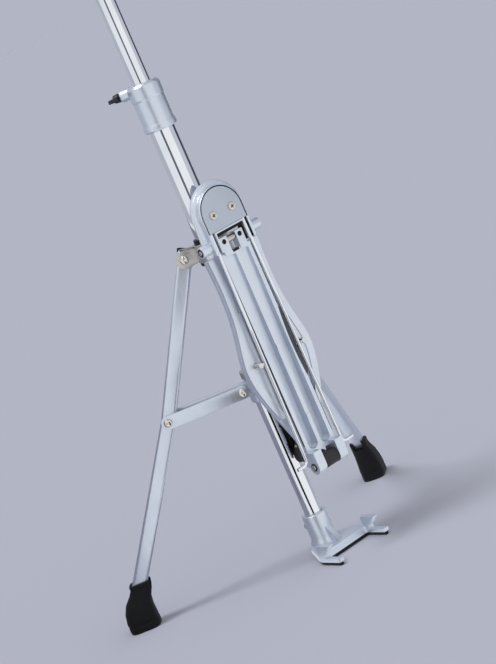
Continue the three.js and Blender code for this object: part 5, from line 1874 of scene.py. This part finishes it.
    def clutch(self) -> None:
        """Makes the clutch's threaded sleeve, then its nuts, felts and wing screw."""
        span, z = Span.of("clutch_body"), Span.of("clutch_wing_screw").centre.z
        low, high, radius, sleeve = span.low.z, span.high.z, span.radius, self.sleeve
        neck, bore, pitch = high - 20, self.rod_bore, 1.5
        thread = [
            (r, low + rise + k * pitch) for k in range(int((neck - low - 2) / pitch))
            for r, rise in ((sleeve, 1), (sleeve, 1.4), (sleeve - 0.4, 1.9))
        ]
        profile = [
            (bore, low), (sleeve - 0.5, low), *thread, (sleeve, neck - 0.6), (sleeve, neck),
            (radius - 0.6, neck), (radius, neck + 0.8), (radius, neck + 3),
            (radius - 0.6, neck + 3.8), (radius - 0.6, high - 3.8), (radius, high - 3),
            (radius, high - 0.8), (radius - 0.7, high), (bore, high),
        ]
        made = turned("threaded_clutch_sleeve", profile)
        cut(made, bar("hole", 2.8, (0, 0, z), (0, -20, z)))
        dress(made, Finish.CHROME, "clutch", "clutch_body")
        for place in ("bottom", "top"):
            self.nut(f"clutch_{place}_nut")
        for place in ("lower", "upper"):
            node = f"clutch_{place}_felt"
            self.felt_ring(node + "_washer", node, 5.7, "clutch")
        made = moved(
            wing_screw("clutch_wing_screw_forged", radius - 3, 12),
            Matrix.Rotation(math.pi / 2, 4, "X"),
            Matrix.Translation(Vector((0, -bore, z)) * MM),
        )
        dress(made, Finish.DARK_STEEL, "clutch_screw", "clutch_wing_screw")

    def nut(self, node: str) -> None:
        """Makes a chamfered hexagon nut in place of a node."""
        span = Span.of(node)
        low, high, radius = span.low.z, span.high.z, max(span.size.x, span.size.y) / 2
        turn = 0.0 if span.size.x > span.size.y else math.pi / 6
        angles = (math.pi / 3 * k + turn for k in range(6))
        corners = [(radius * math.cos(a), radius * math.sin(a)) for a in angles]
        made = prism(node + "_chamfered", corners, Plane.XY, low, high)
        profile = [
            (0, low), (radius * 0.9, low), (radius + 0.05, low + 1), (radius + 0.05, high - 1),
            (radius * 0.9, high), (0, high),
        ]
        combined(made, [turned("crown", profile)], "INTERSECT")
        cut(made, bar("bore", 5.7, (0, 0, low - 1), (0, 0, high + 1)))
        dress(made, Finish.CHROME, "clutch", node)

    def build(self) -> None:
        """Makes everything above the legs."""
        self.clamp()
        self.tilter()
        self.seat()
        self.clutch()


# The studio


@dataclass(frozen=True)
class Card:
    """A curved reflector that stands round the stand.

    Attributes:
        name: Its name.
        start: Where it starts, in degrees to the right of the camera.
        end: Where it ends.
        colour: sRGB hex of its light.
        low: Height of its lower edge, in millimetres.
        high: Height of its upper edge.
        nearer: How far it stands in front of the other cards.
    """

    name: str
    start: float
    end: float
    colour: str
    low: float = 0.0
    high: float = 1100.0
    nearer: float = 0.0


CARDS = (
    Card("left_white_card", -130, 0, "f6f8fb"),
    Card("left_grey_card", -168, -64, "8c8e9e", 0, 365, 8),
    Card("camera_dark_card", -25, 3, "0c0c0e", 0, 230, 8),
    Card("right_white_card", 0, 100, "ffffff", 0, 372),
    Card("right_grey_card", 102, 168, "b4b8c4", 0, 372),
    Card("left_upper_card", -168, -82, "bcc0c9", 374, 1100, 8),
    Card("camera_upper_card", -20, -3, "6b6d76", 350, 1100, 8),
    Card("right_upper_card", 0, 62, "ffffff", 374),
    Card("right_middle_card", 62, 106, "cdd1da", 374),
    Card("right_edge_card", 108, 146, "4a4c56", 374),
)


@dataclass(frozen=True)
class Studio:
    """The camera at the photograph's viewing angle, a plain floor, and soft light.

    Attributes:
        focal_px: Focal length in pixels of the photograph's frame.
        distance: From the camera to the aim point, in millimetres.
        turn: How far the camera stands round to the left of the pedal, in degrees.
        rise: Its height above level, in degrees.
        roll: How far the frame is rolled, in degrees.
        aim: Aim point, as (offset to the right of the axis, height), in millimetres.
        frame_height: Height of the photograph's frame, in pixels.
        sensor: Height of the camera's sensor, in millimetres.
        ground: sRGB hex of the floor and backdrop.
        floor_half: Half the floor's width, in millimetres.
        floor_card: sRGB hex of the card that lies on the floor.
        card_radius: How far the cards are from the tube's axis, in millimetres.
        sector_start: How far from it their strips on the floor begin.
        sun_power: Strength of the overhead light.
        sun_width: Its width in degrees, which softens the shadow.
        sun_from: The direction that it comes from.
        room_from: The direction of the room's brightest side.
        room_low: The room's level on its darkest side.
        room_high: The room's level on its brightest side.
    """

    focal_px: float = 2116.13
    distance: float = 2271.52
    turn: float = 33.10
    rise: float = 10.46
    roll: float = 23.64
    aim: Point = (-2.47, 265.11)
    frame_height: int = 664
    sensor: float = 36.0
    ground: str = "b2b5c3"
    floor_half: float = 30000.0
    floor_card: str = "e9ecf3"
    card_radius: float = 334.0
    sector_start: float = 60.0
    sun_power: float = 1.36
    sun_width: float = 18.0
    sun_from: tuple = (-0.35, 0.12, 0.93)
    room_from: tuple = (0.35, -0.85, 0.40)
    room_low: float = 0.0
    room_high: float = 0.95

    def camera(self) -> None:
        """Sets up the camera."""
        turn, rise, roll = (math.radians(a) for a in (self.turn, self.rise, self.roll))
        level = Vector((math.cos(turn), -math.sin(turn), 0))
        look = Vector((
            math.sin(turn) * math.cos(rise), math.cos(turn) * math.cos(rise), -math.sin(rise),
        ))
        above = level.cross(look)
        right = level * math.cos(roll) - above * math.sin(roll)
        upward = level * math.sin(roll) + above * math.cos(roll)
        offset, height = self.aim
        target = Vector((offset * math.cos(turn), -offset * math.sin(turn), height))
        data = bpy.data.cameras.new("studio_camera")
        data.sensor_fit = "VERTICAL"
        data.sensor_height = data.sensor_width = self.sensor
        data.lens = self.focal_px / self.frame_height * self.sensor
        data.clip_start, data.clip_end = 0.05, 50
        camera = linked("studio_camera", data)
        axes = Matrix((right, upward, -look)).transposed().to_4x4()
        camera.matrix_world = Matrix.Translation((target - look * self.distance) * MM) @ axes
        bpy.context.scene.camera = camera

    def floor(self) -> None:
        """Lays the pale, matte floor."""
        half = self.floor_half
        made = block("studio_floor", (-half, -half, -20), (half, half, 0))
        material = bpy.data.materials.new("studio_paper")
        material.use_nodes = True
        shader = material.node_tree.nodes["Principled BSDF"]
        shader.inputs["Base Color"].default_value = linear(self.ground)
        shader.inputs["Roughness"].default_value = 1.0
        shader.inputs["Specular IOR Level"].default_value = 0.0
        made.data.materials.append(material)

    def reflector(self, name: str, card: Card, section: Sequence[Point]) -> None:
        """Sweeps a section of (radius, height) round the stand from a card's start to its end."""
        steps, toward = 16, math.radians(-90 - self.turn)
        rings = []
        for k in range(steps + 1):
            angle = toward + math.radians(card.start + (card.end - card.start) * k / steps)
            way = Vector((math.cos(angle), math.sin(angle), 0))
            rings.append([polar(way, radius, z) for radius, z in section])
        self.glow(loft(name, rings), card.colour)

    def cards(self) -> None:
        """Stands the cards round the stand, and lays one on the floor.

        The low cards run on over the floor, for the parts that reflect it in front of them.
        """
        for layer, card in enumerate(CARDS):
            radius = self.card_radius - card.nearer
            self.reflector(card.name, card, ring_profile(radius, radius + 3, card.low, card.high))
            if card.low <= 0:
                level = 1.0 + 0.4 * layer
                strip = ring_profile(self.sector_start, radius - 1, level, level + 0.3)
                self.reflector(card.name.replace("card", "sector"), card, strip)
        disc = disc_profile(self.card_radius - 20, 0.4, 0.8)
        self.glow(turned("floor_card", disc), self.floor_card)

    def glow(self, made: Piece, colour: str) -> None:
        """Lights a reflector and hides it from all but shiny surfaces."""
        material = bpy.data.materials.new(made.name + "_board")
        material.use_nodes = True
        tree = material.node_tree
        tree.nodes.remove(tree.nodes["Principled BSDF"])
        light = add_node(tree, "ShaderNodeEmission", {"Color": linear(colour), "Strength": 1.0})
        tree.links.new(light.outputs[0], tree.nodes["Material Output"].inputs["Surface"])
        made.data.materials.append(material)
        made.visible_camera = made.visible_diffuse = made.visible_shadow = False

    def sun(self) -> None:
        """Hangs one wide, soft lamp overhead."""
        data = bpy.data.lights.new("overhead_softbox", "SUN")
        data.energy, data.angle = self.sun_power, math.radians(self.sun_width)
        turn = Vector(self.sun_from).to_track_quat("Z", "Y")
        linked("overhead_softbox", data).matrix_world = turn.to_matrix().to_4x4()

    def world(self) -> None:
        """Lights the room, brighter from the right and above, behind a plain background."""
        world = bpy.data.worlds.new("studio_room")
        bpy.context.scene.world = world
        world.use_nodes = True
        tree = world.node_tree
        way = {
            0: add_node(tree, "ShaderNodeTexCoord").outputs["Generated"],
            1: Vector(self.room_from).normalized(),
        }
        facing = add_node(tree, "ShaderNodeVectorMath", way, operation="DOT_PRODUCT")
        level = mapped(tree, facing.outputs["Value"], (-1.0, 1.0), (self.room_low, self.room_high))
        channels = {name: level for name in ("Red", "Green", "Blue")}
        room = add_node(tree, "ShaderNodeCombineColor", channels).outputs[0]
        path = add_node(tree, "ShaderNodeLightPath").outputs
        rays = {0: path["Is Camera Ray"], 1: path["Is Glossy Ray"]}
        seen = add_node(tree, "ShaderNodeMath", rays, operation="MAXIMUM").outputs[0]
        colours = {0: seen, 6: room, 7: linear(self.ground)}
        colour = add_node(tree, "ShaderNodeMix", colours, data_type="RGBA").outputs[2]
        background = tree.nodes["Background"]
        tree.links.new(colour, background.inputs["Color"])
        background.inputs["Strength"].default_value = 1.0

    def build(self) -> None:
        """Makes the camera, floor, room, lamp and cards."""
        self.camera()
        self.floor()
        self.world()
        self.sun()
        self.cards()
        bpy.context.scene.view_settings.view_transform = "Standard"


def main() -> None:
    """Builds the stand's sub-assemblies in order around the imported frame."""
    logging.basicConfig(level=logging.INFO, format="%(message)s")
    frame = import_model()
    openings = {entry["name"]: entry["box_m"] for entry in frame["record"]["physics"]["openings"]}
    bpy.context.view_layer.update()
    legs = Legs()
    for part in (
        Studio(), Tubes(), legs, Collar(legs), Castings(legs, openings["right_wire_hook"]),
        HeelPlate(), Footboard(), Drive(), TopWork(),
    ):
        part.build()


if __name__ == "__main__":
    main()
